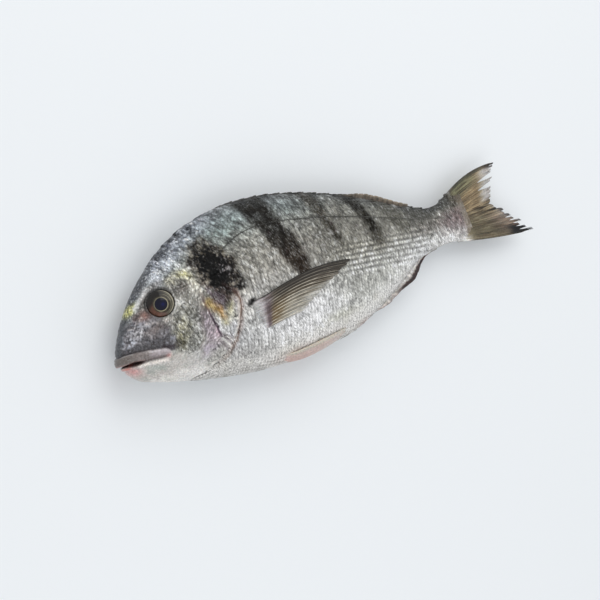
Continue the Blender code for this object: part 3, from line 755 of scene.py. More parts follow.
        # Yellow arc behind the eye, white spot, olive-gold cheek.
        arc = stroke(x, y, ((41.0, 29.4), (46.0, 31.0), (50.4, 30.3), (53.2, 26.5), (54.0, 22.0)), 2.1)
        c = over(c, (216, 210, 184), 0.80 * arc * np.clip(0.8 + 0.7 * tiny, 0, 1))
        c = over(c, (222, 218, 206), 0.70 * spot(x, y, (53.2, 21.5), (2.6, 6.0), -6) * np.clip(0.8 + 0.6 * tiny, 0, 1))
        c = over(c, (192, 184, 112), 0.62 * spot(x, y, (51, 29.6), (3.6, 1.9), -20))
        c = over(c, (104, 92, 82), 0.55 * spot(x, y, (47.0, 24), (4.2, 3.6), 0) * (0.7 + 0.6 * fine))
        c = over(c, (234, 234, 230), 0.80 * spot(px, py, (41.4, 17.4), (1.9, 1.7)))
        olive = spot(x, y, (37.4, 3.0), (3.8, 8.2), -24, 1.2)
        c = over(c, (118, 112, 78), 0.62 * olive * np.clip(0.8 + 0.9 * tiny, 0, 1))
        c = over(c, (190, 184, 150), 0.60 * olive * smooth_step(0.15, 0.5, tiny))
        pale = band(x, 33, 50, 3) * band(y, -14, 12, 3)
        c = over(c, (206, 207, 202), 0.55 * pale * smooth_step(0.15, 0.55, fine))
        c = over(c, (70, 68, 58), 0.50 * pale * smooth_step(0.15, 0.55, -tiny))
        c = over(c, (104, 98, 62), 0.45 * spot(x, y, (34.2, -3.4), (3.0, 4.0), -10))
        c = over(c, (196, 196, 186), 0.30 * spot(x, y, (43.5, -4), (4, 8)))

        # Mauve flange of the cheek plate, and the plates behind it.
        mauve = spot(x, y, (51.2, -3.0), (3.4, 11.5), -8, 1.3)
        c = over(c, (132, 116, 126), 0.66 * mauve)
        c = over(c, (206, 192, 202), 0.50 * mauve * smooth_step(0.1, 0.6, fine))
        c = over(c, (92, 80, 88), 0.45 * mauve * smooth_step(0.1, 0.6, tiny))
        c = over(c, (162, 148, 166), 0.55 * spot(x, y, (46.6, -12.4), (5.2, 2.8), 30))
        c = over(c, (214, 176, 190), 0.50 * spot(x, y, (54.4, -6.5), (2.0, 4.0), -12))
        cover = band(px, 50, 70, 3) * band(py, -22, 12, 3)
        throat = 1 - smooth_step(-15, -4, py)
        spread = head * (1 + 0.9 * cover) * (1 - 0.35 * snout) * (1 - 0.85 * throat) * (1 - 0.45 * mauve)
        c = over(c, (226, 227, 226), 0.36 * spread * (1 - snout) * smooth_step(0.32, 0.60, tiny))
        c = c * (1 + spread * (0.34 * tiny + 0.24 * fine))[:, None]
        c = over(c, (240, 240, 238), 0.88 * brow * np.clip(0.95 + 0.4 * fine, 0, 1))
        c = over(c, (66, 46, 62), 0.90 * stroke(px, py, LINES.preopercle, 0.60))
        c = over(c, (106, 92, 86), 0.55 * spot(px, py, (54.0, 14.5), (1.3, 3.2), 6))
        c = over(c, (112, 102, 98), 0.38 * stroke(x, y, LINES.cheek_rim, 1.0))
        c = over(c, (208, 209, 212), 0.62 * spot(x, y, (64.2, -6.5), (3.4, 10), 18, 1.5))
        c = over(c, (196, 194, 182), 0.40 * spot(x, y, (52, -17), (10, 4), 28, 1.4))

        c = over(c, (116, 104, 108), 0.72 * spot(px, py, (58.4, -12.6), (3.8, 6.0), 32, 1.4))
        c = over(c, (248, 246, 242), 0.95 * stroke(px, py, LINES.streak, 0.80))
        c = over(c, (236, 232, 228), 0.80 * stroke(px, py, tuple((u + 2.3, v + 0.9) for u, v in LINES.streak), 0.50))

        # Gold patch, purple mottle and the black blotch.
        ragged = 0.22 * soft + 0.30 * fine + 0.34 * streaks + 0.26 * self.grain(points + 610, 3.4)
        purple = smooth_step(0.30, 0.62, spot(px, py, (63.2, 12.0), (7.6, 10.0), 0) + 0.8 * ragged)
        c = over(c, (74, 60, 68), 0.82 * purple)
        c = over(c, (206, 178, 112), 0.82 * stroke(x, y, ((55.0, 11.0), (58.6, 6.0), (60.4, 2.6)), 2.2))
        c = over(c, (202, 196, 150), 0.72 * stroke(x, y, ((68.4, 7.6), (66.2, 2.6), (60.6, -2.0)), 1.9))
        c = over(c, (204, 146, 84), 0.82 * spot(x, y, (60.0, 3.6), (1.7, 3.4), 18, 1.3) * np.clip(0.85 + 0.8 * tiny, 0, 1))
        c = over(c, (226, 220, 200), 0.55 * spot(x, y, (65.0, 1.0), (3.2, 3.6)) * np.clip(0.8 + tiny, 0, 1))
        c = over(c, (60, 42, 34), 0.55 * spot(x, y, (62.4, 0.2), (0.8, 1.6)))
        c = over(c, (186, 174, 186), 0.60 * spot(px, py, (70.2, 7.2), (1.5, 2.6)))
        blotch = spot(px, py, (67.9, 27.6), (10.3, 17.0), 14, 1.2)
        worms = np.maximum(1 - smooth_step(0.06, 0.22, np.abs(self.fleck(points + 210, (2.6, 2.0, 4.0)))),
                           1 - smooth_step(0.05, 0.18, np.abs(self.grain(points + 260, (2.0, 2.9, 4.0)))))
        fringe = np.maximum(blotch, 0.55 * spot(px, py, (60.5, 36.5), (8.0, 6.0), 30))
        c = over(c, (112, 100, 82), 0.55 * smooth_step(0.20, 0.45, fringe + 0.4 * ragged))
        c = over(c, (16, 13, 12), 0.94 * worms * smooth_step(0.22, 0.44, fringe + 0.35 * ragged))
        c = over(c, (30, 26, 23), 0.88 * smooth_step(0.52, 0.66, blotch + 0.9 * ragged))
        c = over(c, (1, 1, 1), 0.99 * smooth_step(0.62, 0.74, blotch + 0.7 * ragged))
        c = over(c, (120, 112, 100), 0.50 * smooth_step(0.42, 0.62, fine) * band(blotch, 0.30, 0.66, 0.06))
        c = over(c, (3, 3, 3), 0.96 * spot(x, y, (67.2, 22.0), (4.0, 6.0), 0, 1.6))
        c = over(c, (190, 180, 182), 0.85 * smooth_step(0.30, 0.55, fine) * spot(px, py, (73.0, 23.0), (4.6, 8.5), 20))
        c = over(c, (138, 128, 110), 0.70 * smooth_step(0.30, 0.56, -fine) * spot(px, py, (61.5, 36.5), (5.0, 5.5), 30))
        c = over(c, (20, 17, 15), 0.92 * smooth_step(0.25, 0.5, spot(px, py, (75.8, 18.6), (4.4, 7.5), 20) + 0.5 * ragged)
                 * np.clip(worms + 0.25, 0, 1))
        c = over(c, (214, 206, 206), 0.80 * spot(px, py, (74.4, 24.6), (1.3, 0.8), 30))
        c = over(c, (40, 22, 18), 0.92 * stroke(px, py, ((67.5, 17.5), (69.8, 13.8), (72.6, 11.0)), 1.2))

        # The gill cover's pale margin, and painted shade: a dark line under its raised edge.
        edge, share = away_from(px, py, LINES.gill)
        inside = px < np.interp(-py, [-v for _, v in LINES.gill], [u for u, _ in LINES.gill])
        margin = np.exp(-((edge - 1.4) / 0.8) ** 2) * band(py, -24, 12, 3)
        c = over(c, (212, 200, 190), 0.62 * margin * inside)
        c = over(c, (178, 150, 142), 0.45 * margin * ~inside * smooth_step(-16, -6, py))
        # Painted shade under the raised edge, fading to a lighter line toward its low end.
        c = over(c, (86, 60, 46), 0.88 * np.exp(-(edge / 0.6) ** 2) * (1 - smooth_step(0.5, 0.95, share)))
        c = over(c, (124, 112, 102), 0.55 * np.exp(-(edge / 0.6) ** 2) * smooth_step(0.5, 0.8, share))

        # Lips, jaw and the mouth's corner.
        mouth = LINES.height(LINES.mouth, px)
        top = LINES.height(LINES.lip_top, px)
        lip = band(py, mouth, top, 0.5) * (1 - smooth_step(24, 27, px))
        c = over(c, (118, 109, 106), 0.92 * lip)
        c = over(c, (92, 84, 76), 0.55 * lip * (1 - smooth_step(4, 12, px)) * (0.7 + 0.6 * soft))
        c = over(c, (146, 134, 136), 0.40 * lip * smooth_step(-0.3, 0.6, soft) * smooth_step(5, 12, px))
        # Painted highlight along the top of the upper lip's rear part.
        c = over(c, (232, 226, 228), 0.85 * lip * np.exp(-((py - top + 0.9) / 0.7) ** 2) * smooth_step(11, 17, px)
                 * np.clip(0.85 + 0.6 * fine, 0, 1))
        # Painted highlight at the top of the upper lip's front.
        c = over(c, (216, 214, 212), 0.66 * np.exp(-((py - top + 0.4) / 0.35) ** 2) * band(px, 2, 8, 1))
        c = over(c, (190, 180, 186), 0.62 * np.exp(-(away_from(px, py, LINES.maxilla)[0] / 1.5) ** 4)
                 * smooth_step(13, 21, px + 1.5 * soft))
        c = over(c, (190, 146, 142), 0.50 * lip * np.exp(-((py - mouth - 0.8) / 0.6) ** 2) * (1 - smooth_step(9, 14, px)))
        c = over(c, (84, 72, 72), 0.50 * lip * np.exp(-((py - mouth - 0.6) / 0.5) ** 2) * smooth_step(9, 14, px))
        c = over(c, (34, 28, 32), 0.85 * np.exp(-((py - top - 0.1) / 0.45) ** 2) * (1 - smooth_step(26, 29, px)))
        c = over(c, (38, 26, 32), 0.80 * stroke(px, py, ((24.4, -1.6), (28.4, -3.4)), 0.9))
        below = (1 - smooth_step(-0.8, 0.2, py - mouth)) * (1 - smooth_step(44, 58, px)) * band(py, -40, -3, 1)
        c = over(c, (192, 186, 180), 0.80 * below * (1 - smooth_step(26, 44, px)))
        c = over(c, (160, 164, 156), 0.45 * below * smooth_step(-0.1, 0.7, soft))
        c = over(c, (214, 212, 206), 0.40 * below * smooth_step(0.2, 0.7, self.grain(points + 500, 1.2)))
        c = over(c, (160, 170, 164), 0.55 * spot(x, y, (17, -10.8), (7, 1.8), -14))
        c = over(c, (208, 150, 148), 0.80 * spot(px, py, (5.0, -8.6), (4.4, 2.4), -20))
        # Painted highlight along the lower lip, below the slit.
        c = over(c, (246, 238, 230), 0.90 * stroke(px, py, ((9.0, -6.4), (14.0, -7.1), (24.0, -8.8)), 1.0)
                 * np.clip(0.9 + 0.5 * soft, 0, 1))
        c = over(c, (214, 150, 144), 0.55 * spot(px, py, (25.4, -7.0), (1.5, 1.4)))
        c = over(c, (196, 112, 100), 0.72 * spot(px, py, (2.2, -6.0), (2.2, 0.9), -10, 1.4))
        # Painted shade in the mouth slit, darkest where the mouth gapes in front; the red near the front is the mouth's
        # own colour.
        gape = 0.35 + 0.95 * np.exp(-((px - 6) / 4) ** 2)
        gap = np.exp(-((py - mouth + 0.2) / gape) ** 4) * (1 - smooth_step(22, 25, px))
        c = over(c, (34, 17, 15), 0.96 * gap * (1 - 0.75 * smooth_step(9, 14, px)))
        c = over(c, (132, 40, 32), 0.60 * gap * spot(px, py, (3.4, -4.9), (2.2, 0.8)))
        return c


# ---------------------------------------------------------------------------- meshes and materials


def mesh_object(name: str, points: Array, faces: list[Array], colours: Array | None = None,
                floats: dict[str, Array] | None = None) -> bpy.types.Object:
    """Makes an object from arrays of points and faces.

    Args:
        name: The object's name.
        points: One row for each point, in the fish frame.
        faces: Arrays of faces, each with one number of corners.
        colours: Display colours of the points, stored as the attribute tint.
        floats: Further numbers of the points, stored under their names.

    Returns:
        The object, linked to the scene.
    """
    mesh = bpy.data.meshes.new(name)
    placed = ANATOMY.to_row(points)
    mesh.vertices.add(len(placed))
    mesh.vertices.foreach_set("co", placed.astype(np.float32).ravel())
    corners = np.concatenate([f.ravel() for f in faces])
    sizes = np.concatenate([np.full(len(f), f.shape[1]) for f in faces])
    mesh.loops.add(len(corners))
    mesh.loops.foreach_set("vertex_index", corners.astype(np.int32))
    mesh.polygons.add(len(sizes))
    mesh.polygons.foreach_set("loop_start", (np.cumsum(sizes) - sizes).astype(np.int32))
    mesh.update(calc_edges=True)
    mesh.shade_smooth()
    add_colours(mesh, colours)
    for key, values in (floats or {}).items():
        attribute = mesh.attributes.new(key, "FLOAT", "POINT")
        attribute.data.foreach_set("value", values.astype(np.float32))
    obj = bpy.data.objects.new(name, mesh)
    bpy.context.scene.collection.objects.link(obj)
    return obj


def add_colours(mesh: bpy.types.Mesh, colours: Array | None) -> None:
    """Stores display colours as the mesh's attribute tint, in linear light."""
    if colours is None:
        return
    attribute = mesh.attributes.new("tint", "FLOAT_COLOR", "POINT")
    full = np.concatenate([linear(colours), np.ones((len(colours), 1))], axis=1)
    attribute.data.foreach_set("color", full.astype(np.float32).ravel())


def grid_faces(rows: int, columns: int, around: bool, start: int = 0) -> Array:
    """Quads of a grid of points, whose outer side has rows to the right of columns.

    Args:
        rows: How many rows of points there are.
        columns: How many points a row has.
        around: Whether the last column joins the first.
        start: The index of the first point.

    Returns:
        The faces, four corners each.
    """
    r = np.arange(rows - 1)[:, None]
    c = np.arange(columns if around else columns - 1)[None, :]
    after = (c + 1) % columns
    a, b = start + r * columns + c, start + (r + 1) * columns + c
    d, e = start + (r + 1) * columns + after, start + r * columns + after
    return np.stack([a, b, d, e], axis=-1).reshape(-1, 4)


@dataclass(frozen=True)
class Wiring:
    """Adds and joins nodes in a tree."""

    tree: bpy.types.NodeTree

    def add(self, kind: str, **settings: object) -> bpy.types.Node:
        """A new node of a kind with these settings."""
        node = self.tree.nodes.new(kind)
        for key, value in settings.items():
            setattr(node, key, value)
        return node

    def join(self, out: bpy.types.NodeSocket, into: bpy.types.NodeSocket) -> None:
        """Links an output to an input."""
        self.tree.links.new(out, into)


@dataclass(frozen=True)
class Coating:
    """A procedural finish: painted colours, mottled by grain, with fine relief and a wet coat; where set, also painted
    shade on scale rims and painted highlight flecks.
    """

    name: str
    roughness: tuple[float, float] = (0.25, 0.45)
    metallic: float = 0.0
    coat: float = 0.0
    coat_roughness: float = 0.12
    specular: float = 0.5
    subsurface: float = 0.0
    mottle_size: float = 0.0012
    mottle_stretch: tuple[float, float, float] = (1.0, 1.0, 1.0)
    mottle_turn: float = 0.0
    mottle: tuple[float, float] = (0.82, 1.12)
    bump_size: float = 0.0008
    bump: float = 0.25
    bump_height: float = 0.0002
    rim_shade: float = 0.0
    glint: float = 0.0
    glint_size: float = 0.0006
    glint_colour: tuple[float, float, float] = (0.62, 0.64, 0.66)

    def material(self) -> bpy.types.Material:
        """Builds the material.

        Returns:
            A material that reads the piece's own attribute tint and Object coordinates.
        """
        material = bpy.data.materials.new(self.name)
        material.use_nodes = True
        wires = Wiring(material.node_tree)
        shader = material.node_tree.nodes["Principled BSDF"]
        shader.inputs["Metallic"].default_value = self.metallic
        shader.inputs["Specular IOR Level"].default_value = self.specular
        shader.inputs["Coat Weight"].default_value = self.coat
        shader.inputs["Coat Roughness"].default_value = self.coat_roughness
        if self.subsurface:
            shader.inputs["Subsurface Weight"].default_value = self.subsurface
            shader.inputs["Subsurface Radius"].default_value = (0.004, 0.002, 0.001)
            shader.inputs["Subsurface Scale"].default_value = 0.5

        place = wires.add("ShaderNodeTexCoord")
        tint = wires.add("ShaderNodeAttribute", attribute_name="tint")
        mottle = wires.add("ShaderNodeTexNoise")
        mottle.inputs["Scale"].default_value = 1 / self.mottle_size
        mottle.inputs["Detail"].default_value = 3
        stretch = wires.add("ShaderNodeMapping", vector_type="TEXTURE")
        stretch.inputs["Scale"].default_value = self.mottle_stretch
        stretch.inputs["Rotation"].default_value = (0, 0, self.mottle_turn)
        wires.join(place.outputs["Object"], stretch.inputs["Vector"])
        wires.join(stretch.outputs["Vector"], mottle.inputs["Vector"])
        level = wires.add("ShaderNodeMapRange")
        level.inputs["From Min"].default_value = 0.3
        level.inputs["From Max"].default_value = 0.7
        level.inputs["To Min"].default_value = self.mottle[0]
        level.inputs["To Max"].default_value = self.mottle[1]
        wires.join(mottle.outputs["Fac"], level.inputs["Value"])
        factor = level.outputs["Result"]
        # Painted shade: the rim attribute darkens each scale plate toward its edges, where its neighbours would shadow
        # it.
        if self.rim_shade:
            rim = wires.add("ShaderNodeAttribute", attribute_name="rim")
            dark = wires.add("ShaderNodeMapRange")
            dark.inputs["To Min"].default_value = 1.0
            dark.inputs["To Max"].default_value = 1.0 - self.rim_shade
            wires.join(rim.outputs["Fac"], dark.inputs["Value"])
            both = wires.add("ShaderNodeMath", operation="MULTIPLY")
            wires.join(factor, both.inputs[0])
            wires.join(dark.outputs["Result"], both.inputs[1])
            factor = both.outputs["Value"]
        scaled = wires.add("ShaderNodeVectorMath", operation="SCALE")
        wires.join(tint.outputs["Color"], scaled.inputs[0])
        wires.join(factor, scaled.inputs["Scale"])
        colour = scaled.outputs["Vector"]
        if self.glint:
            colour = self.glints(wires, colour, tint.outputs["Color"], stretch.outputs["Vector"])
        wires.join(colour, shader.inputs["Base Color"])

        gloss = wires.add("ShaderNodeMapRange")
        gloss.inputs["To Min"].default_value = self.roughness[0]
        gloss.inputs["To Max"].default_value = self.roughness[1]
        wires.join(mottle.outputs["Fac"], gloss.inputs["Value"])
        wires.join(gloss.outputs["Result"], shader.inputs["Roughness"])

        if self.bump:
            grain = wires.add("ShaderNodeTexNoise")
            grain.inputs["Scale"].default_value = 1 / self.bump_size
            grain.inputs["Detail"].default_value = 4
            wires.join(place.outputs["Object"], grain.inputs["Vector"])
            bump = wires.add("ShaderNodeBump")
            bump.inputs["Strength"].default_value = self.bump
            bump.inputs["Distance"].default_value = self.bump_height
            wires.join(grain.outputs["Fac"], bump.inputs["Height"])
            wires.join(bump.outputs["Normal"], shader.inputs["Normal"])
        return material


    def glints(self, wires: Wiring, colour: bpy.types.NodeSocket, tint: bpy.types.NodeSocket,
               place: bpy.types.NodeSocket) -> bpy.types.NodeSocket:
        """Adds small painted highlight flecks wherever the tint is not black.

        Args:
            wires: The material's nodes.
            colour: The colour so far.
            tint: The painted colour.
            place: The coordinates of the mottle.

        Returns:
            The colour with its flecks.
        """
        speck = wires.add("ShaderNodeTexNoise")
        speck.inputs["Scale"].default_value = 1 / self.glint_size
        speck.inputs["Detail"].default_value = 2
        wires.join(place, speck.inputs["Vector"])
        light = wires.add("ShaderNodeMapRange")
        light.inputs["From Min"].default_value = 0.55
        light.inputs["From Max"].default_value = 0.70
        light.inputs["To Max"].default_value = self.glint
        wires.join(speck.outputs["Fac"], light.inputs["Value"])
        grey = wires.add("ShaderNodeRGBToBW")
        wires.join(tint, grey.inputs["Color"])
        lit = wires.add("ShaderNodeMapRange")
        lit.inputs["From Min"].default_value = 0.004
        lit.inputs["From Max"].default_value = 0.03
        lit.inputs["To Min"].default_value = 0.12
        wires.join(grey.outputs["Val"], lit.inputs["Value"])
        share = wires.add("ShaderNodeMath", operation="MULTIPLY")
        wires.join(light.outputs["Result"], share.inputs[0])
        wires.join(lit.outputs["Result"], share.inputs[1])
        mix = wires.add("ShaderNodeMix", data_type="RGBA")
        wires.join(share.outputs["Value"], mix.inputs[0])
        wires.join(colour, mix.inputs[6])
        mix.inputs[7].default_value = (*self.glint_colour, 1)
        return mix.outputs[2]


def dress(obj: bpy.types.Object, coating: Coating, nodes: tuple[str, ...] = ()) -> None:
    """Gives a piece its material and the body it rides on, and hides the solids that it stands for.

    Args:
        obj: The piece.
        coating: Its finish.
        nodes: The solids that it stands for.
    """
    obj.data.materials.clear()
    obj.data.materials.append(coating.material())
    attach(obj, "root")
    if nodes:
        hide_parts(*nodes)
    LOG.info("%s: %d points, %d faces", obj.name, len(obj.data.vertices), len(obj.data.polygons))


# ---------------------------------------------------------------------------- head and trunk


@dataclass(frozen=True)
class Hide:
    """The bare skin: the head with its gill covers, and the trunk that runs in under them."""

    points_around: int = 300
    head_rings: int = 300
    trunk_rings: int = 200
    flap_turn: tuple[tuple[float, float], ...] = ((0.20, -0.30), (0.10, -0.75), (-1.0, -1.0), (-4.0, -1.1))
    tuck_length: float = 0.0045
    tuck_depth: float = 0.0008
    pigment: Pigment = field(default_factory=Pigment)
    relief: HeadRelief = field(default_factory=HeadRelief)

    def angles(self) -> Array:
        """The skin angles of a ring's points."""
        return TAU * np.arange(self.points_around) / self.points_around

    def kept_up(self, points: Array) -> Array:
        """Keeps points above the surface that the fish rests on."""
        points[:, 2] = np.maximum(points[:, 2], REST_GAP - ANATOMY.origin()[2])
        return points

    def head(self) -> bpy.types.Object:
        """The head, from the snout to the gill covers' turned-in rims."""
        t = np.arange(1, self.head_rings + 1) / self.head_rings
        places = ANATOMY.gill_edge_x * (0.05 * t + 0.95 * t ** 1.45)
        place, angle = np.meshgrid(places, self.angles(), indexing="ij")
        x = ANATOMY.ring_x(place, angle).ravel()
        angle = angle.ravel()
        base, normal, along = ANATOMY.patch(x, angle, np.ones(len(x)))
        mm = base / MM
        lift = self.relief.height(mm, ANATOMY.from_eye(base) / MM)
        edge = mm[:, 0] - ANATOMY.gill_edge(angle) / MM
        lift *= 1 - smooth_step(-1.2, 0.0, edge) * smooth_step(10, 22, mm[:, 1])
        points = base + normal * (lift * MM)[:, None]
        colours = self.pigment.tint(mm, ANATOMY, False)
        eye = ANATOMY.from_eye(base) / MM
        colours = over(colours, (30, 27, 24), 0.90 * (1 - smooth_step(7.3, 8.3, eye)))
        shadow = smooth_step(-1.5, 4.0, (mm[:, 1] - 20.3) - 0.55 * (mm[:, 0] - 31.5))
        colours = over(colours, (22, 19, 17), 0.62 * np.exp(-((eye - 8.5) / 0.7) ** 2) * shadow)
        # Painted highlight: a pale arc on the socket's rim behind the eye.
        colours = over(colours, (226, 224, 220), 0.75 * np.exp(-((eye - 8.5) / 0.4) ** 2)
                       * smooth_step(3, 9, mm[:, 0] - 33 - 0.6 * (mm[:, 1] - 20)))

        last = slice(len(points) - self.points_around, len(points))
        share = ANATOMY.gill_share(base[last, 1])[:, None]
        rim_points, rim_colours = [], []
        for shift, drop in self.flap_turn:
            shift = shift * share - 0.02 * (1 - share)
            drop = drop * share - 0.5 * (1 - share)
            rim_points.append(points[last] + along[last] * shift * MM + normal[last] * drop * MM)
            rim_colours.append(over(colours[last], (70, 40, 36), np.full(self.points_around, 0.7)))
        tip = ANATOMY.skin(np.zeros(1), np.zeros(1), np.ones(1))
        points = np.concatenate([tip, points, *rim_points])
        colours = np.concatenate([colours[:1], colours, *rim_colours])
        rows = self.head_rings + len(self.flap_turn)
        k = np.arange(self.points_around)
        fan = np.stack([np.zeros_like(k), 1 + k, 1 + (k + 1) % self.points_around], axis=1)
        faces = [fan, grid_faces(rows, self.points_around, True, 1)]
        obj = mesh_object("head_skin", self.kept_up(points), faces, colours)
        dress(obj, SKIN, ("body",))
        return obj

    def trunk(self) -> bpy.types.Object:
        """The trunk, from under the gill covers to the end of the tail stalk."""
        edge = ANATOMY.gill_edge_x
        tucked = edge - self.tuck_length * np.array([1.0, 0.6, 0.25, 0.08])
        t = np.arange(self.trunk_rings) / (self.trunk_rings - 1)
        end_x = ANATOMY.end + ANATOMY.wedge_length
        places = np.concatenate([tucked, edge + (end_x - edge) * (0.35 * t + 0.65 * t ** 1.25)])
        place, angle = np.meshgrid(places, self.angles(), indexing="ij")
        x = ANATOMY.ring_x(np.maximum(place, edge), angle)
        x = (x + np.minimum(place - edge, 0)).ravel()
        behind = (place.ravel() >= edge)
        angle = angle.ravel()
        base, normal, _ = ANATOMY.patch(x, angle, np.zeros(len(x)))
        mm = base / MM
        under = np.where(behind, 0, self.tuck_depth + 0.0004 * (1 - ANATOMY.gill_share(base[:, 1])))
        lift = -under / MM - 0.9 * spot(mm[:, 0], mm[:, 1], (79.6, 1.8), (1.8, 1.0), 20, 1.3)
        lift += 0.05 * self.relief.grain(mm, 2.2) * behind
        points = base + normal * (lift * MM)[:, None]
        colours = self.pigment.tint(mm, ANATOMY, False)
        colours = over(colours, (10, 9, 10), 0.96 * spot(mm[:, 0], mm[:, 1], (79.6, 2.2), (2.4, 0.9), 22, 1.6))
        colours = over(colours, (70, 40, 36), np.where(behind, 0, 0.8))
        n = self.points_around
        end = points[-n:].mean(axis=0, keepdims=True)
        points = np.concatenate([points, end])
        colours = np.concatenate([colours, colours[-1:]])
        last = (len(places) - 1) * n
        k = np.arange(n)
        fan = np.stack([last + k, np.full(n, len(points) - 1), last + (k + 1) % n], axis=1)
        faces = [grid_faces(len(places), n, True), fan]
        obj = mesh_object("trunk_skin", self.kept_up(points), faces, colours)
        dress(obj, SKIN, ("body",))
        return obj


# ---------------------------------------------------------------------------- scales


@dataclass(frozen=True)
class ScaleTree:
    """The Geometry Nodes tree that seats one small shape on every point of a mesh."""

    seed: int = 7

    def build(self, name: str, shape: bpy.types.Object, sizes: dict[str, float],
              material: bpy.types.Material) -> tuple[bpy.types.NodeTree, dict[str, object]]:
        """Builds the tree.

        Args:
            name: The tree's name.
            shape: The shape to seat. Its own +X points rearward and its +Z outward.
            sizes: Length, Width, Thickness in metres, and Tilt and Tilt Spread in radians.
            material: The material of the seated shapes.

        Returns:
            The tree, and the values of its inputs by socket identifier.
        """
        tree = bpy.data.node_groups.new(name, "GeometryNodeTree")
        values: dict[str, object] = {}
        tree.interface.new_socket("Geometry", in_out="INPUT", socket_type="NodeSocketGeometry")
        tree.interface.new_socket("Geometry", in_out="OUTPUT", socket_type="NodeSocketGeometry")
        for key, value in sizes.items():
            socket = tree.interface.new_socket(key, in_out="INPUT", socket_type="NodeSocketFloat")
            values[socket.identifier] = value
        socket = tree.interface.new_socket("Seed", in_out="INPUT", socket_type="NodeSocketInt")
        values[socket.identifier] = self.seed
        socket = tree.interface.new_socket("Shape", in_out="INPUT", socket_type="NodeSocketObject")
        values[socket.identifier] = shape
        socket = tree.interface.new_socket("Material", in_out="INPUT", socket_type="NodeSocketMaterial")
        values[socket.identifier] = material

        wires = Wiring(tree)
        start, finish = wires.add("NodeGroupInput"), wires.add("NodeGroupOutput")

        def named(attribute: str, kind: str) -> bpy.types.NodeSocket:
            """The output that reads one of the seats' attributes."""
            node = wires.add("GeometryNodeInputNamedAttribute", data_type=kind)
            node.inputs["Name"].default_value = attribute
            return node.outputs["Attribute"]

        turn = wires.add("FunctionNodeAxesToRotation", primary_axis="Z", secondary_axis="X")
        wires.join(named("outward", "FLOAT_VECTOR"), turn.inputs["Primary Axis"])
        wires.join(named("rearward", "FLOAT_VECTOR"), turn.inputs["Secondary Axis"])
        spread = wires.add("FunctionNodeRandomValue", data_type="FLOAT_VECTOR")
        wide = wires.add("ShaderNodeCombineXYZ")
        narrow = wires.add("ShaderNodeVectorMath", operation="SCALE")
        narrow.inputs["Scale"].default_value = -1.0
        for axis in ("X", "Y", "Z"):
            wires.join(start.outputs["Tilt Spread"], wide.inputs[axis])
        wires.join(wide.outputs["Vector"], narrow.inputs[0])
        wires.join(narrow.outputs["Vector"], spread.inputs["Min"])
        wires.join(wide.outputs["Vector"], spread.inputs["Max"])
        wires.join(start.outputs["Seed"], spread.inputs["Seed"])
        lifted = wires.add("ShaderNodeMath", operation="MULTIPLY")
        wires.join(start.outputs["Tilt"], lifted.inputs[0])
        wires.join(named("lift", "FLOAT"), lifted.inputs[1])
        down = wires.add("ShaderNodeMath", operation="MULTIPLY")
        down.inputs[1].default_value = -1.0
        wires.join(lifted.outputs["Value"], down.inputs[0])
        nose = wires.add("ShaderNodeCombineXYZ")
        wires.join(down.outputs["Value"], nose.inputs["Y"])
        loose = wires.add("ShaderNodeVectorMath", operation="SCALE")
        wires.join(spread.outputs["Value"], loose.inputs[0])
        wires.join(named("lift", "FLOAT"), loose.inputs["Scale"])
        total = wires.add("ShaderNodeVectorMath", operation="ADD")
        wires.join(nose.outputs["Vector"], total.inputs[0])
        wires.join(loose.outputs["Vector"], total.inputs[1])
        tip = wires.add("FunctionNodeEulerToRotation")
        wires.join(total.outputs["Vector"], tip.inputs[0])
        turned = wires.add("FunctionNodeRotateRotation", rotation_space="LOCAL")
        wires.join(turn.outputs["Rotation"], turned.inputs["Rotation"])
        wires.join(tip.outputs["Rotation"], turned.inputs["Rotate By"])

        size = wires.add("ShaderNodeCombineXYZ")
        for key, axis in (("Length", "X"), ("Width", "Y"), ("Thickness", "Z")):
            wires.join(start.outputs[key], size.inputs[axis])
        grown = wires.add("ShaderNodeVectorMath", operation="SCALE")
        wires.join(size.outputs["Vector"], grown.inputs[0])
        wires.join(named("size", "FLOAT"), grown.inputs["Scale"])
        info = wires.add("GeometryNodeObjectInfo", transform_space="ORIGINAL")
        wires.join(start.outputs["Shape"], info.inputs["Object"])
        seat = wires.add("GeometryNodeInstanceOnPoints")
        wires.join(start.outputs["Geometry"], seat.inputs["Points"])
        wires.join(info.outputs["Geometry"], seat.inputs["Instance"])
        wires.join(turned.outputs["Rotation"], seat.inputs["Rotation"])
        wires.join(grown.outputs["Vector"], seat.inputs["Scale"])
        real = wires.add("GeometryNodeRealizeInstances")
        coat = wires.add("GeometryNodeSetMaterial")
        wires.join(seat.outputs["Instances"], real.inputs["Geometry"])
        wires.join(real.outputs["Geometry"], coat.inputs["Geometry"])
        wires.join(start.outputs["Material"], coat.inputs["Material"])
        wires.join(coat.outputs["Geometry"], finish.inputs["Geometry"])
        return tree, values


def grown_mesh(obj: bpy.types.Object, tree: bpy.types.NodeTree, values: dict[str, object]) -> None:
    """Runs a Geometry Nodes tree on an object and keeps its result as a plain mesh.

    Args:
        obj: The object that carries the tree's input.
        tree: The tree.
        values: The values of its inputs by socket identifier.
    """
    modifier = obj.modifiers.new(tree.name, "NODES")
    modifier.node_group = tree
    for identifier, value in values.items():
        modifier[identifier] = value
    bpy.context.view_layer.update()
    graph = bpy.context.evaluated_depsgraph_get()
    mesh = bpy.data.meshes.new_from_object(obj.evaluated_get(graph), preserve_all_data_layers=True, depsgraph=graph)
    obj.modifiers.clear()
    old = obj.data
    obj.data = mesh
    bpy.data.meshes.remove(old)
    mesh.shade_smooth()


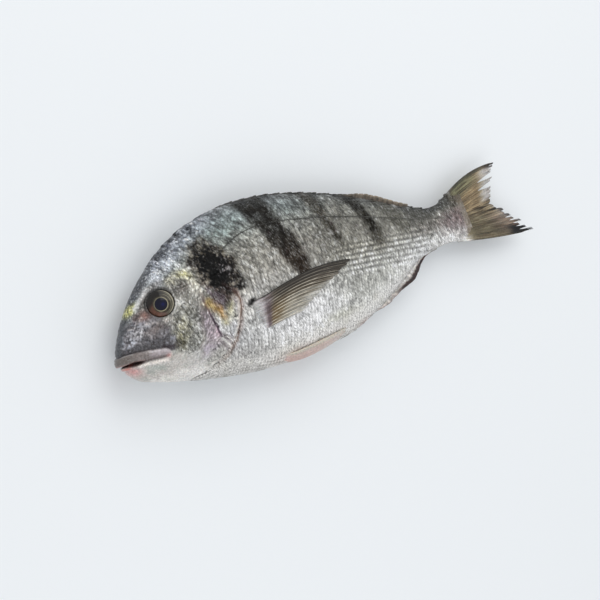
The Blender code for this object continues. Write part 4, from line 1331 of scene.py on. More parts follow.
@dataclass(frozen=True)
class ScaleCoat:
    """The scales of both flanks: lengthwise rows of overlapping plates, each row half a plate on from the next."""

    pitch: float = 0.0021
    row_gap: float = 0.0030
    tail_share: float = 0.74
    head_share: float = 0.86
    length: float = 0.0036
    width: float = 0.0049
    thickness: float = 0.00017
    tilt: float = math.radians(4.0)
    tilt_spread: float = math.radians(1.5)
    upright_lean: float = 0.20
    nape_lean: float = 0.55
    middle: Course = ((16, 8), (60, 14), (75, 15), (100, 14), (125, 12), (150, 7.5), (180, 2.5), (205, -1.8),
                      (240, -3.5), (252, -4.0))
    pigment: Pigment = field(default_factory=Pigment)
    tree: ScaleTree = field(default_factory=ScaleTree)

    def plate(self) -> bpy.types.Object:
        """One scale of unit size: a thin closed plate, rounded behind, whose rim attribute carries painted shade,
        darkening its edges where neighbours would shadow it.
        """
        half = [(0.485, 0.20), (0.43, 0.36), (0.26, 0.46), (-0.02, 0.50), (-0.30, 0.45), (-0.50, 0.28)]
        outline = [(0.50, 0.0)] + half + [(u, -v) for u, v in reversed(half)]
        count = len(outline)
        points = [(u, v, 0.0) for u, v in outline]
        points += [(0.02 + 0.78 * (u - 0.02), 0.80 * v, 0.8) for u, v in outline]
        points += [(-0.05, 0.0, 1.0), (0.0, 0.0, -0.6)]
        rim = [1.0] * count + [0.0 if u > 0.0 else 0.5 for u, _ in outline] + [0.45, 0.5]
        faces = []
        for k in range(count):
            after = (k + 1) % count
            faces += [(k, after, count + after), (k, count + after, count + k)]
            faces += [(count + k, count + after, 2 * count), (after, k, 2 * count + 1)]
        mesh = bpy.data.meshes.new("scale_plate")
        mesh.from_pydata(points, [], faces)
        attribute = mesh.attributes.new("rim", "FLOAT", "POINT")
        attribute.data.foreach_set("value", rim)
        mesh.shade_smooth()
        obj = bpy.data.objects.new("scale_plate", mesh)
        bpy.context.scene.collection.objects.link(obj)
        return obj

    def share(self, x: Array) -> Array:
        """The scales' size at x: largest on the trunk's front."""
        tail = 1 + (self.tail_share - 1) * smooth_step(0.165, 0.240, x)
        return tail * (self.head_share + (1 - self.head_share) * smooth_step(0.045, 0.080, x))

    def seats(self) -> tuple[Array, Array, Array, Array]:
        """Where the scales sit on the left flank.

        Returns:
            Places along the fish and skin angles of the scales, and of a point a little behind each in its row.
        """
        grid_x = np.linspace(0.010, ANATOMY.end + 0.012, 280)
        turns = np.linspace(-math.pi / 2, math.pi / 2, 361)
        flat_x, flat_a = (v.ravel() for v in np.meshgrid(grid_x, turns, indexing="ij"))
        ring = ANATOMY.skin(flat_x, flat_a).reshape(len(grid_x), len(turns), 3)
        runs = np.linalg.norm(np.diff(ring, axis=1), axis=2)
        arcs = np.concatenate([np.zeros((len(grid_x), 1)), np.cumsum(runs, axis=1)], axis=1)
        centre = ANATOMY.angle_at(grid_x, LINES.height(self.middle, grid_x / MM) * MM, Side.LEFT)
        arcs -= np.array([np.interp(a, turns, arc) for a, arc in zip(centre, arcs)])[:, None]

        column = [0.018]
        while column[-1] < ANATOMY.end + 0.040:
            column.append(column[-1] + 0.5 * self.pitch * float(self.share(np.array(column[-1]))))
        base, row = np.meshgrid(np.array(column), np.arange(-22, 24), indexing="ij")
        kept = (np.arange(len(column))[:, None] + row) % 2 == 0
        base, row = base[kept], row[kept].astype(float)

        def placed(base_x: Array) -> tuple[Array, Array, Array]:
            """Places, angles and whether they lie on the flank, for one set of columns."""
            along = row * self.row_gap * self.share(base_x)
            lean = self.nape_lean * (1 - smooth_step(0.085, 0.150, base_x))
            x = base_x - self.upright_lean * along - lean * np.maximum(along - 0.008, 0)
            spot_on = (x - grid_x[0]) / (grid_x[1] - grid_x[0])
            first = np.clip(np.floor(spot_on).astype(int), 0, len(grid_x) - 2)
            angle, inside = np.zeros(len(x)), np.zeros(len(x), bool)
            for i in np.unique(first):
                here = first == i
                t = np.clip(spot_on[here] - i, 0, 1)
                low, high = (np.interp(along[here], arcs[j], turns) for j in (i, i + 1))
                angle[here] = low * (1 - t) + high * t
                inside[here] = (along[here] > arcs[i, 0] + 0.0007) & (along[here] < arcs[i, -1] - 0.0007)
            return x, angle, inside & (x > 0.016) & (x < ANATOMY.end + 0.0075)

        x, angle, inside = placed(base)
        next_x, next_angle, _ = placed(base + 0.0004)
        return x[inside], angle[inside], next_x[inside], next_angle[inside]

    def presence(self, mm: Array, edge: Array, eye: Array) -> tuple[Array, Array]:
        """How large the scales are and how far they lift, from 0 to 1, at each seat.

        Args:
            mm: The seats' points, in millimetres.
            edge: How far each lies behind the gill cover's edge, in millimetres.
            eye: How far each lies from its eye's axis, in millimetres.

        Returns:
            The sizes and the lifts.
        """
        x, y = mm[:, 0], mm[:, 1]
        trunk = smooth_step(0.6, 2.6, edge) * (1 - 0.7 * smooth_step(240, 247, x))
        nape = smooth_step(34, 46, x + 0.3 * (y - 30)) * smooth_step(22, 27, y)
        cheek = spot(x, y, (40, 3), (8.4, 14.5), -16, 4.0) * smooth_step(-15, -11, y)
        cover = band(x, 55.5, 90, 1.0) * smooth_step(-19, -15, y + 0.35 * (60 - x))
        lower = spot(x, y, (52.5, -16.5), (8.5, 4.0), 30, 4.0)
        head = np.maximum.reduce([nape, cheek, cover, lower]) * smooth_step(10.2, 12.0, eye)
        head *= 1 - stroke(x, y, LINES.streak, 2.0)
        on_cover = (1 - smooth_step(-3.4, -2.4, edge)) + smooth_step(12, 22, y)
        size = np.where(edge > 0.2, np.maximum(trunk, smooth_step(12, 22, y)), head * np.clip(on_cover, 0, 1))
        belly = 1 - smooth_step(-1.5, 3.0, y - LINES.height(LINES.smooth_belly, x))
        lift = 1 - 0.78 * belly
        lift *= 1 - 0.45 * (1 - smooth_step(60, 78, x))
        size *= 1 - 0.9 * spot(x, y, (79.8, 1.8), (2.4, 1.2), 20, 2)
        return size, lift

    def coat(self, side: Side) -> bpy.types.Object:
        """All scales of one flank as one piece."""
        x, a, next_x, next_a = self.seats()
        if side is Side.RIGHT:
            a, next_a = math.pi - a, math.pi - next_a
        edge = (x - ANATOMY.gill_edge(a)) / MM
        cover = (edge < 0.2).astype(float)
        base, normal, _ = ANATOMY.patch(x, a, cover)
        behind = ANATOMY.skin(next_x, next_a, cover) - base
        mm = base / MM
        eye = ANATOMY.from_eye(base) / MM
        size, lift = self.presence(mm, edge, eye)
        kept = size > 0.35
        base, normal, behind, mm, size, lift, x, edge, eye = (
            v[kept] for v in (base, normal, behind, mm, size, lift, x, edge, eye))
        relief = HeadRelief().height(mm, eye) * (1 - smooth_step(-1.2, 0.2, edge))
        raised = (np.maximum(relief, -0.25) + 0.03) * MM
        random = np.random.default_rng(5 if side is Side.LEFT else 6)
        bright = np.exp(random.normal(0, 1, len(mm)) * 0.075 * lift)
        seats = mesh_object("scales_" + side.name.lower(), base + normal * raised[:, None], [
            np.zeros((0, 3), int)], None, {"size": size * self.share(x), "lift": lift, "bright": bright})
        for key, values in (("outward", normal), ("rearward", behind)):
            attribute = seats.data.attributes.new(key, "FLOAT_VECTOR", "POINT")
            attribute.data.foreach_set("vector", values.astype(np.float32).ravel())
        plate_object = self.plate()
        tree, values = self.tree.build("Scale coat", plate_object, {
            "Length": self.length, "Width": self.width, "Thickness": self.thickness,
            "Tilt": self.tilt, "Tilt Spread": self.tilt_spread}, SCALES.material())
        grown_mesh(seats, tree, values)
        bpy.data.objects.remove(plate_object, do_unlink=True)
        self.paint(seats.data)
        dress(seats, SCALES)
        return seats

    def paint(self, mesh: bpy.types.Mesh) -> None:
        """Colours every point of the seated scales by its own place."""
        count = len(mesh.vertices)
        placed, bright = np.empty(3 * count, np.float32), np.empty(count, np.float32)
        mesh.vertices.foreach_get("co", placed)
        mesh.attributes["bright"].data.foreach_get("value", bright)
        points = placed.reshape(-1, 3).astype(float)
        low = float(np.min(points[:, 2]))
        if low < REST_GAP:
            points[:, 2] = np.maximum(points[:, 2], REST_GAP)
            mesh.vertices.foreach_set("co", points.astype(np.float32).ravel())
            mesh.update()
        mm = (points - np.array(ANATOMY.origin())) / MM
        add_colours(mesh, np.clip(self.pigment.tint(mm, ANATOMY, True) * bright[:, None], 0, 255))
        for key in ("outward", "rearward", "size", "lift", "bright"):
            mesh.attributes.remove(mesh.attributes[key])


# ---------------------------------------------------------------------------- eyes


@dataclass(frozen=True)
class Eye:
    """An eyeball: a dome with a dark pupil, a pale ring and a streaked iris."""

    side: Side
    radius: float = 0.0077
    rim_height: float = 0.0035
    crown: float = 0.0022
    depth: float = 0.0045
    pupil: float = 0.0034
    pupil_drop: float = 0.0007
    segments: int = 96
    rings: int = 56

    def build(self) -> bpy.types.Object:
        """Builds the eyeball and dresses it."""
        centre, axis = ANATOMY.eye_frame(self.side)
        helper = np.array([1.0, 0, 0]) - axis * axis[0]
        u = helper / np.linalg.norm(helper)
        v = np.cross(axis, u) * self.side.value
        shares = (np.arange(1, self.rings + 1) / self.rings) ** 0.8
        height = self.rim_height + self.crown * (1 - shares ** 2) ** 0.62
        profile = [(s * self.radius, h) for s, h in zip(shares, height)]
        profile += [(self.radius * 0.98, self.rim_height - 0.0008), (self.radius * 0.8, -self.depth * 0.5),
                    (self.radius * 0.4, -self.depth)]
        turn = TAU * np.arange(self.segments) / self.segments * self.side.value
        rows = [centre + axis * h + r * (np.cos(turn)[:, None] * u + np.sin(turn)[:, None] * v)
                for r, h in profile]
        top = centre + axis * (self.rim_height + self.crown)
        low = centre - axis * self.depth
        points = np.concatenate([[top], *rows, [low]])
        radial = np.concatenate([[0], *[np.full(self.segments, min(r, self.radius)) for r, _ in profile],
                                 [self.radius]])
        around = np.concatenate([[0], *[turn for _ in profile], [0]])
        k = np.arange(self.segments)
        after = (k + 1) % self.segments
        last = 1 + (len(profile) - 1) * self.segments
        faces = [np.stack([0 * k, 1 + k, 1 + after], 1), grid_faces(len(profile), self.segments, True, 1),
                 np.stack([last + k, 0 * k + len(points) - 1, last + after], 1)]
        name = "eye_" + self.side.name.lower()
        obj = mesh_object("eyeball_" + self.side.name.lower(), points, faces, self.colours(radial, around))
        dress(obj, CORNEA, (name,))
        return obj

    def colours(self, radial: Array, around: Array) -> Array:
        """The eye's rings of colour.

        Args:
            radial: Distances from the eye's axis.
            around: Angles about it, from the tail's side up to the back.

        Returns:
            Display colours.
        """
        rearward, upward = radial / MM * np.cos(around), radial / MM * np.sin(around) * self.side.value
        outer = radial / MM
        mm = np.hypot(rearward, upward + self.pupil_drop / MM)
        pupil = self.pupil / MM
        streak = Grain(13)(np.stack([np.cos(around) * 5, np.sin(around) * 5, mm * 0.5], 1), 1.0)
        fine = Grain(14)(np.stack([rearward, upward, 0 * mm], 1), 0.45)
        c = np.tile(np.array([60.0, 56, 45]), (len(mm), 1))
        c = over(c, (104, 100, 84), 0.55 * smooth_step(4.6, 5.6, mm) * smooth_step(-2.0, 3.0, rearward - 0.3 * upward))
        c = over(c, (46, 42, 34), 0.62 * np.exp(-((mm - 5.0) / 0.25) ** 2) + 0.55 * np.exp(-((mm - 6.1) / 0.25) ** 2))
        c = over(c, (150, 146, 126), 0.50 * (np.exp(-((mm - 5.5) / 0.22) ** 2) + np.exp(-((mm - 6.6) / 0.25) ** 2))
                 * smooth_step(-1.0, 3.5, rearward))
        c = over(c, (104, 66, 52), 0.80 * smooth_step(1.2, 4.6, -rearward - 0.55 * upward) * smooth_step(3.9, 5.0, mm))
        # Painted shade over the iris's upper part, under the socket's rim.
        c = over(c, (26, 24, 22), 0.88 * smooth_step(1.2, 4.4, upward - 0.45 * rearward) * smooth_step(4.0, 5.2, mm))
        c = c * (1 + 0.16 * streak + 0.14 * fine)[:, None]
        ring = np.exp(-((mm - pupil - 0.36) / 0.19) ** 2)
        c = over(c, (206, 198, 164), ring * (0.45 + 0.40 * smooth_step(-2.0, 2.5, rearward - upward)))
        c = over(c, (206, 198, 176), 0.75 * np.exp(-((outer - 6.9) / 0.22) ** 2) * smooth_step(0, 4.0, rearward))
        c = over(c, (24, 22, 20), 0.90 * smooth_step(7.1, 7.5, outer))
        c = over(c, (4, 6, 30), 1 - smooth_step(pupil - 0.12, pupil + 0.12, mm))
        return over(c, (12, 24, 96), 0.60 * np.exp(-(np.hypot(rearward - 0.9, upward + 1.2) / 1.2) ** 2))


# ---------------------------------------------------------------------------- fins


@dataclass(frozen=True)
class SweepTree:
    """The Geometry Nodes tree that turns lines into tapering round rays."""

    sides: int = 6

    def build(self, name: str, girth: float, material: bpy.types.Material
              ) -> tuple[bpy.types.NodeTree, dict[str, object]]:
        """Builds the tree.

        Args:
            name: The tree's name.
            girth: A factor on the thickness that the lines carry in their attribute girth.
            material: The rays' material.

        Returns:
            The tree, and the values of its inputs by socket identifier.
        """
        tree = bpy.data.node_groups.new(name, "GeometryNodeTree")
        tree.interface.new_socket("Geometry", in_out="INPUT", socket_type="NodeSocketGeometry")
        tree.interface.new_socket("Geometry", in_out="OUTPUT", socket_type="NodeSocketGeometry")
        values: dict[str, object] = {}
        for key, kind, value in (("Girth", "NodeSocketFloat", girth), ("Sides", "NodeSocketInt", self.sides),
                                 ("Material", "NodeSocketMaterial", material)):
            values[tree.interface.new_socket(key, in_out="INPUT", socket_type=kind).identifier] = value
        wires = Wiring(tree)
        start, finish = wires.add("NodeGroupInput"), wires.add("NodeGroupOutput")
        curve = wires.add("GeometryNodeMeshToCurve")
        wires.join(start.outputs["Geometry"], curve.inputs["Mesh"])
        girth_of = wires.add("GeometryNodeInputNamedAttribute", data_type="FLOAT")
        girth_of.inputs["Name"].default_value = "girth"
        scaled = wires.add("ShaderNodeMath", operation="MULTIPLY")
        wires.join(girth_of.outputs["Attribute"], scaled.inputs[0])
        wires.join(start.outputs["Girth"], scaled.inputs[1])
        thick = wires.add("GeometryNodeSetCurveRadius")
        wires.join(curve.outputs["Curve"], thick.inputs["Curve"])
        wires.join(scaled.outputs["Value"], thick.inputs["Radius"])
        ring = wires.add("GeometryNodeCurvePrimitiveCircle")
        wires.join(start.outputs["Sides"], ring.inputs["Resolution"])
        ring.inputs["Radius"].default_value = 1.0
        tube = wires.add("GeometryNodeCurveToMesh")
        tube.inputs["Fill Caps"].default_value = True
        wires.join(thick.outputs["Curve"], tube.inputs["Curve"])
        wires.join(ring.outputs["Curve"], tube.inputs["Profile Curve"])
        if "Scale" in tube.inputs:
            wires.join(scaled.outputs["Value"], tube.inputs["Scale"])
        real = wires.add("GeometryNodeRealizeInstances")
        coat = wires.add("GeometryNodeSetMaterial")
        wires.join(tube.outputs["Mesh"], real.inputs["Geometry"])
        wires.join(real.outputs["Geometry"], coat.inputs["Geometry"])
        wires.join(start.outputs["Material"], coat.inputs["Material"])
        wires.join(coat.outputs["Geometry"], finish.inputs["Geometry"])
        return tree, values


@dataclass(frozen=True)
class RayedFin:
    """A fin of thin strips of membrane, one to each ray, with branching rays on both faces."""

    name: str = "fin"
    nodes: tuple[str, ...] = ()
    rays: int = 16
    columns: int = 7
    rows: int = 40
    root_thickness: float = 0.0016
    edge_thickness: float = 0.00022
    ray_girth: float = 0.00030
    tip_girth: float = 0.00009
    branches: tuple[float, ...] = (0.38, 0.68)
    thinning: float = 1.5
    seed: int = 4

    def place(self, share: Array, reach: Array) -> tuple[Array, Array]:
        """Middle-plane points and normals at shares across and along the fin."""
        raise NotImplementedError

    def colours(self, share: Array, reach: Array) -> Array:
        """The membrane's display colours."""
        raise NotImplementedError

    def ray_colours(self, share: Array, reach: Array) -> Array:
        """The rays' display colours."""
        return self.colours(share, reach)

    def tip(self, ray: Array) -> Array:
        """How far each ray reaches, 1 being the fin's full outline."""
        return 1 - 0.03 * np.random.default_rng(self.seed).random(self.rays)[ray]

    def split(self, border: int) -> tuple[float, float]:
        """Where the membrane parts at a border between two strips, and how much of a strip it takes."""
        return 0.94, 0.45

    def thickness(self, share: Array, reach: Array) -> Array:
        """The membrane's thickness."""
        return self.root_thickness + (self.edge_thickness - self.root_thickness) * np.minimum(
            reach * self.thinning, 1) ** 0.5

    def membrane(self) -> bpy.types.Object:
        """The strips of membrane as one piece."""
        all_points, all_colours, faces, start = [], [], [], 0
        across = np.linspace(-1, 1, self.columns)
        for ray in range(self.rays):
            low_start, low_take = self.split(ray - 1)
            high_start, high_take = self.split(ray)
            reach = np.linspace(0, 1, self.rows) ** 0.9 * float(self.tip(np.array([ray]))[0])
            half = 1.0 / self.rays
            centre = -1 + (2 * ray + 1) * half
            low = centre - half * (1 - low_take * np.clip((reach - low_start) / (1 - low_start), 0, 1)) - 0.04 * half
            high = centre + half * (1 - high_take * np.clip((reach - high_start) / (1 - high_start), 0, 1)) + 0.04 * half
            share = low[:, None] + (high - low)[:, None] * (across[None, :] + 1) / 2
            grid_reach = np.repeat(reach[:, None], self.columns, 1)
            tip_round = 1 - 0.018 * across[None, :] ** 2
            points, normals = self.place(share.ravel(), (grid_reach * tip_round).ravel())
            half_thick = self.thickness(share.ravel(), grid_reach.ravel())[:, None] / 2
            colours = self.colours(share.ravel(), grid_reach.ravel())
            n = self.rows * self.columns
            all_points += [points + normals * half_thick, points - normals * half_thick]
            all_colours += [colours, colours]
            top = grid_faces(self.rows, self.columns, False, start)
            under = grid_faces(self.rows, self.columns, False, start + n)[:, ::-1]
            faces += [top, under]
            rim = [c for c in range(self.columns)]
            rim += [r * self.columns + self.columns - 1 for r in range(1, self.rows)]
            rim += [(self.rows - 1) * self.columns + c for c in range(self.columns - 2, -1, -1)]
            rim += [r * self.columns for r in range(self.rows - 2, 0, -1)]
            rim = np.array(rim)
            after = np.roll(rim, -1)
            faces.append(np.stack([start + rim, start + after, start + n + after, start + n + rim], 1))
            start += 2 * n
        return mesh_object(self.name, np.concatenate(all_points), faces, np.concatenate(all_colours))

    def ray_lines(self) -> tuple[Array, list[tuple[int, int]], Array, Array]:
        """The rays' lines: their points, edges, girths and colours."""
        points, edges, girths, colours, start = [], [], [], [], 0
        steps = 14
        for ray in range(self.rays):
            half = 1.0 / self.rays
            centre = -1 + (2 * ray + 1) * half
            limit = float(self.tip(np.array([ray]))[0])
            for level in range(len(self.branches) + 1):
                count = 2 ** level
                begin = 0.0 if level == 0 else self.branches[level - 1]
                end = self.branches[level] if level < len(self.branches) else limit
                if begin >= limit:
                    continue
                end = min(end + 0.01, limit)
                reach = np.linspace(begin, end, steps)
                opened = smooth_step(begin, begin + 0.12, reach) if level else np.zeros(steps)
                for k in range(count):
                    own = ((k + 0.5) / count - 0.5) * 1.5 * half
                    parent = ((k // 2 + 0.5) / max(count // 2, 1) - 0.5) * 1.5 * half if level > 1 else 0.0
                    share = centre + parent + (own - parent) * opened
                    place, normal = self.place(share, reach)
                    fall = (reach / limit) ** 0.8
                    girth = (self.ray_girth + (self.tip_girth - self.ray_girth) * fall) * 0.86 ** level
                    points.append(place)
                    girths.append(girth)
                    colours.append(self.ray_colours(share, reach))
                    edges += [(start + j, start + j + 1) for j in range(steps - 1)]
                    start += steps
        return np.concatenate(points), edges, np.concatenate(girths), np.concatenate(colours)

    def ray_piece(self) -> bpy.types.Object:
        """The rays as one piece, swept by Geometry Nodes."""
        points, edges, girths, colours = self.ray_lines()
        mesh = bpy.data.meshes.new(self.name + "_rays")
        mesh.from_pydata(ANATOMY.to_row(points).tolist(), edges, [])
        add_colours(mesh, colours)
        attribute = mesh.attributes.new("girth", "FLOAT", "POINT")
        attribute.data.foreach_set("value", girths.astype(np.float32))
        obj = bpy.data.objects.new(self.name + "_rays", mesh)
        bpy.context.scene.collection.objects.link(obj)
        tree, values = SweepTree().build("Fin rays", 1.0, RAYS.material())
        grown_mesh(obj, tree, values)
        return obj

    def build(self) -> None:
        """Builds and dresses the membrane and its rays."""
        dress(self.membrane(), MEMBRANE, self.nodes)
        dress(self.ray_piece(), RAYS)


@dataclass(frozen=True)
class SkinLine:
    """A thin raised line on one flank, made of short tubes: pored scales, or a rim of the gill cover."""

    name: str
    side: Side
    course: Course
    tones: tuple[tuple[float, float], ...]
    tint: tuple[float, float, float] = (1.0, 0.99, 0.94)
    step: float = 2.1
    filled: float = 0.86
    girth: float = 0.00021
    lift: float = 0.00030

    def build(self) -> None:
        """Sweeps and dresses the tubes."""
        corners = np.array(self.course, float)
        length = np.concatenate([[0.0], np.cumsum(np.hypot(*np.diff(corners, axis=0).T))])
        first = np.arange(0.0, length[-1] - 0.5 * self.step, self.step)
        gone = (first[:, None] + self.step * np.linspace(0.0, self.filled, 4)).ravel()
        x = np.interp(gone, length, corners[:, 0]) * MM
        y = np.interp(gone, length, corners[:, 1]) * MM
        angle = ANATOMY.angle_at(x, y, self.side)
        base, normal, _ = ANATOMY.patch(x, angle)
        ahead = 1 - smooth_step(-1.2, 0.2, (x - ANATOMY.gill_edge(angle)) / MM)
        relief = np.maximum(HeadRelief().height(base / MM, ANATOMY.from_eye(base) / MM) * ahead, -0.25) * MM
        points = ANATOMY.to_row(base + normal * (self.lift + relief)[:, None])
        points[:, 2] = np.maximum(points[:, 2], REST_GAP + self.girth)
        mesh = bpy.data.meshes.new(self.name + "_" + self.side.name.lower())
        mesh.from_pydata(points.tolist(), [(k, k + 1) for k in range(len(x) - 1) if k % 4 != 3], [])
        places, levels = zip(*self.tones)
        tone = np.interp(x / MM, places, levels) * (1 + 0.30 * Grain(71)(base / MM, 1.4))
        add_colours(mesh, np.clip(tone[:, None] * np.array(self.tint), 0, 255))
        attribute = mesh.attributes.new("girth", "FLOAT", "POINT")
        attribute.data.foreach_set("value", np.full(len(x), self.girth, dtype=np.float32))
        obj = bpy.data.objects.new(mesh.name, mesh)
        bpy.context.scene.collection.objects.link(obj)
        tree, values = SweepTree().build("Skin line", 1.0, RAYS.material())
        grown_mesh(obj, tree, values)
        dress(obj, RAYS)


@dataclass(frozen=True)
class CaudalFin(RayedFin):
    """The tail fin: two lobes with a fork between them, torn along its rear margin."""

    name: str = "tail_fin"
    nodes: tuple[str, ...] = ("caudal_fin",)
    rays: int = 20
    columns: int = 9
    rows: int = 44
    root_thickness: float = 0.0040
    edge_thickness: float = 0.0003
    ray_girth: float = 0.00058
    tip_girth: float = 0.00017
    thinning: float = 2.6
    root_x: float = 0.2395
    root_half: float = 0.0150
    root_y: float = -0.0008
    upper_spread: float = math.radians(27.5)
    lower_spread: float = math.radians(16)
    upper_curl: float = 0.64
    lower_curl: float = 0.27
    fork_length: float = 0.0312
    upper_lobe: float = 0.0468
    lower_lobe: float = 0.0580
    tears: tuple[float, float] = (0.40, 0.60)
    tear_gape: float = 0.0013

    def place(self, share: Array, reach: Array) -> tuple[Array, Array]:
        """Middle-plane points and normals at shares across and along the fin."""
        upper = share > 0
        lobe = np.where(upper, self.upper_lobe, self.lower_lobe)
        spread = np.where(upper, self.upper_spread, self.lower_spread)
        curl = np.where(upper, self.upper_curl, self.lower_curl)
        size = np.abs(share)
        length = self.fork_length + (lobe - self.fork_length) * size ** 0.85
        course = spread * share * (1 - curl * reach * size)
        gape = sum(self.tear_gape * smooth_step(0.62, 1.0, reach) * np.sign(share - tear)
                   * np.exp(-np.abs(share - tear) / 0.09) for tear in self.tears)
        x = self.root_x + np.cos(course) * length * reach
        y = self.root_y + self.root_half * share + np.sin(course) * length * reach + gape
        ripple = 0.0005 * np.sin(share * 9 + 2.2 * reach) * reach ** 1.5
        z = ANATOMY.sag(x) + ripple
        points = np.stack([x, y, z], 1)
        return points, np.tile([0.0, 0.0, 1.0], (len(points), 1))

    def tip(self, ray: Array) -> Array:
        """How far each ray reaches: ragged in the lower lobe."""
        random = np.random.default_rng(self.seed).random(self.rays)
        share = -1 + (2 * ray + 1) / self.rays
        ragged = np.where(share < 0, 0.10, 0.03)
        return 1 - ragged * random[ray] * (np.abs(share) < 0.9)

    def split(self, border: int) -> tuple[float, float]:
        """Where the membrane parts between two rays, and how much of a strip it takes."""
        share = -1 + 2 * (border + 1) / self.rays
        if min(abs(share - tear) for tear in self.tears) < 0.01:
            return 0.66, 0.55
        if share < -0.45:
            return 0.84, 0.95
        return (0.93, 0.60) if share > 0.75 else (0.95, 0.45)

    def colours(self, share: Array, reach: Array) -> Array:
        """Olive membrane streaked along the rays, with a lilac root, black tips and a pale torn rear."""
        points, _ = self.place(share, reach)
        mm = points / MM
        fine = Grain(21)(np.stack([share * 46, reach * 3.2, share * 0], 1), 1.0)
        wide = Grain(23)(np.stack([share * 15, reach * 2.0, share * 0], 1), 1.0)
        c = np.tile(np.array([134.0, 122, 98]), (len(share), 1))
        c = over(c, (96, 100, 74), 0.65 * smooth_step(0.35, 0.8, share) * (1 - smooth_step(0.45, 0.75, reach)))
        c = over(c, (150, 128, 96), 0.55 * band(share, 0.05, 0.6, 0.15) * band(reach, 0.25, 0.7, 0.12))
        c = over(c, (94, 90, 72), 0.60 * band(share, -0.95, -0.20, 0.2) * (1 - smooth_step(0.5, 0.8, reach)))
        c = over(c, (130, 116, 110), 0.55 * band(share, -0.9, -0.30, 0.15) * smooth_step(0.45, 0.75, reach))
        c = c * (1 + 0.44 * fine + 0.18 * wide)[:, None]
        c = over(c, (52, 44, 34), 0.74 * smooth_step(0.15, 0.65, fine) * smooth_step(0.10, 0.25, reach)
                 * (1 - smooth_step(0.6, 0.85, reach)))
        c = over(c, (200, 200, 202), 0.80 * smooth_step(0.66, 0.88, reach + 0.05 * wide) * band(share, 0.10, 0.88, 0.06))
        c = over(c, (150, 152, 154), 0.50 * smooth_step(0.75, 0.95, reach) * band(share, -0.5, -0.04, 0.1))
        c = over(c, (60, 58, 58), 0.50 * smooth_step(0.1, 0.6, fine) * smooth_step(0.75, 0.95, reach) * (share > 0.1))
        dark = smooth_step(0.0, 0.45, Grain(22)(np.stack([share * 30, reach * 2, share * 0], 1), 1.0) + 0.25)
        c = over(c, (36, 32, 26), 0.90 * band(share, -0.26, 0.05, 0.06) * smooth_step(0.42, 0.78, reach) * dark)
        c = over(c, (34, 36, 38), 0.90 * smooth_step(0.74, 0.94, reach + 0.06 * fine) * smooth_step(0.78, 0.90, share))
        c = over(c, (20, 22, 24), 0.96 * smooth_step(0.62, 0.78, reach + 0.06 * fine) * (1 - smooth_step(-0.84, -0.66, share)))
        c = over(c, (46, 48, 52), 0.75 * smooth_step(0.86, 0.98, reach) * band(share, -0.85, -0.10, 0.05))
        c = over(c, (56, 56, 48), 0.72 * smooth_step(0.86, 0.97, share) + 0.5 * (1 - smooth_step(-0.99, -0.93, share)))
        root = 1 - smooth_step(0.03, 0.20, reach + 0.05 * wide + 0.05 * fine)
        return over(c, (0, 0, 0), root) + Pigment().tint(mm, ANATOMY, True) * root[:, None]

    def ray_colours(self, share: Array, reach: Array) -> Array:
        """Rays a little lighter than the membrane."""
        c = self.colours(share, reach)
        return np.clip(c * 1.06 + 5, 0, 255)


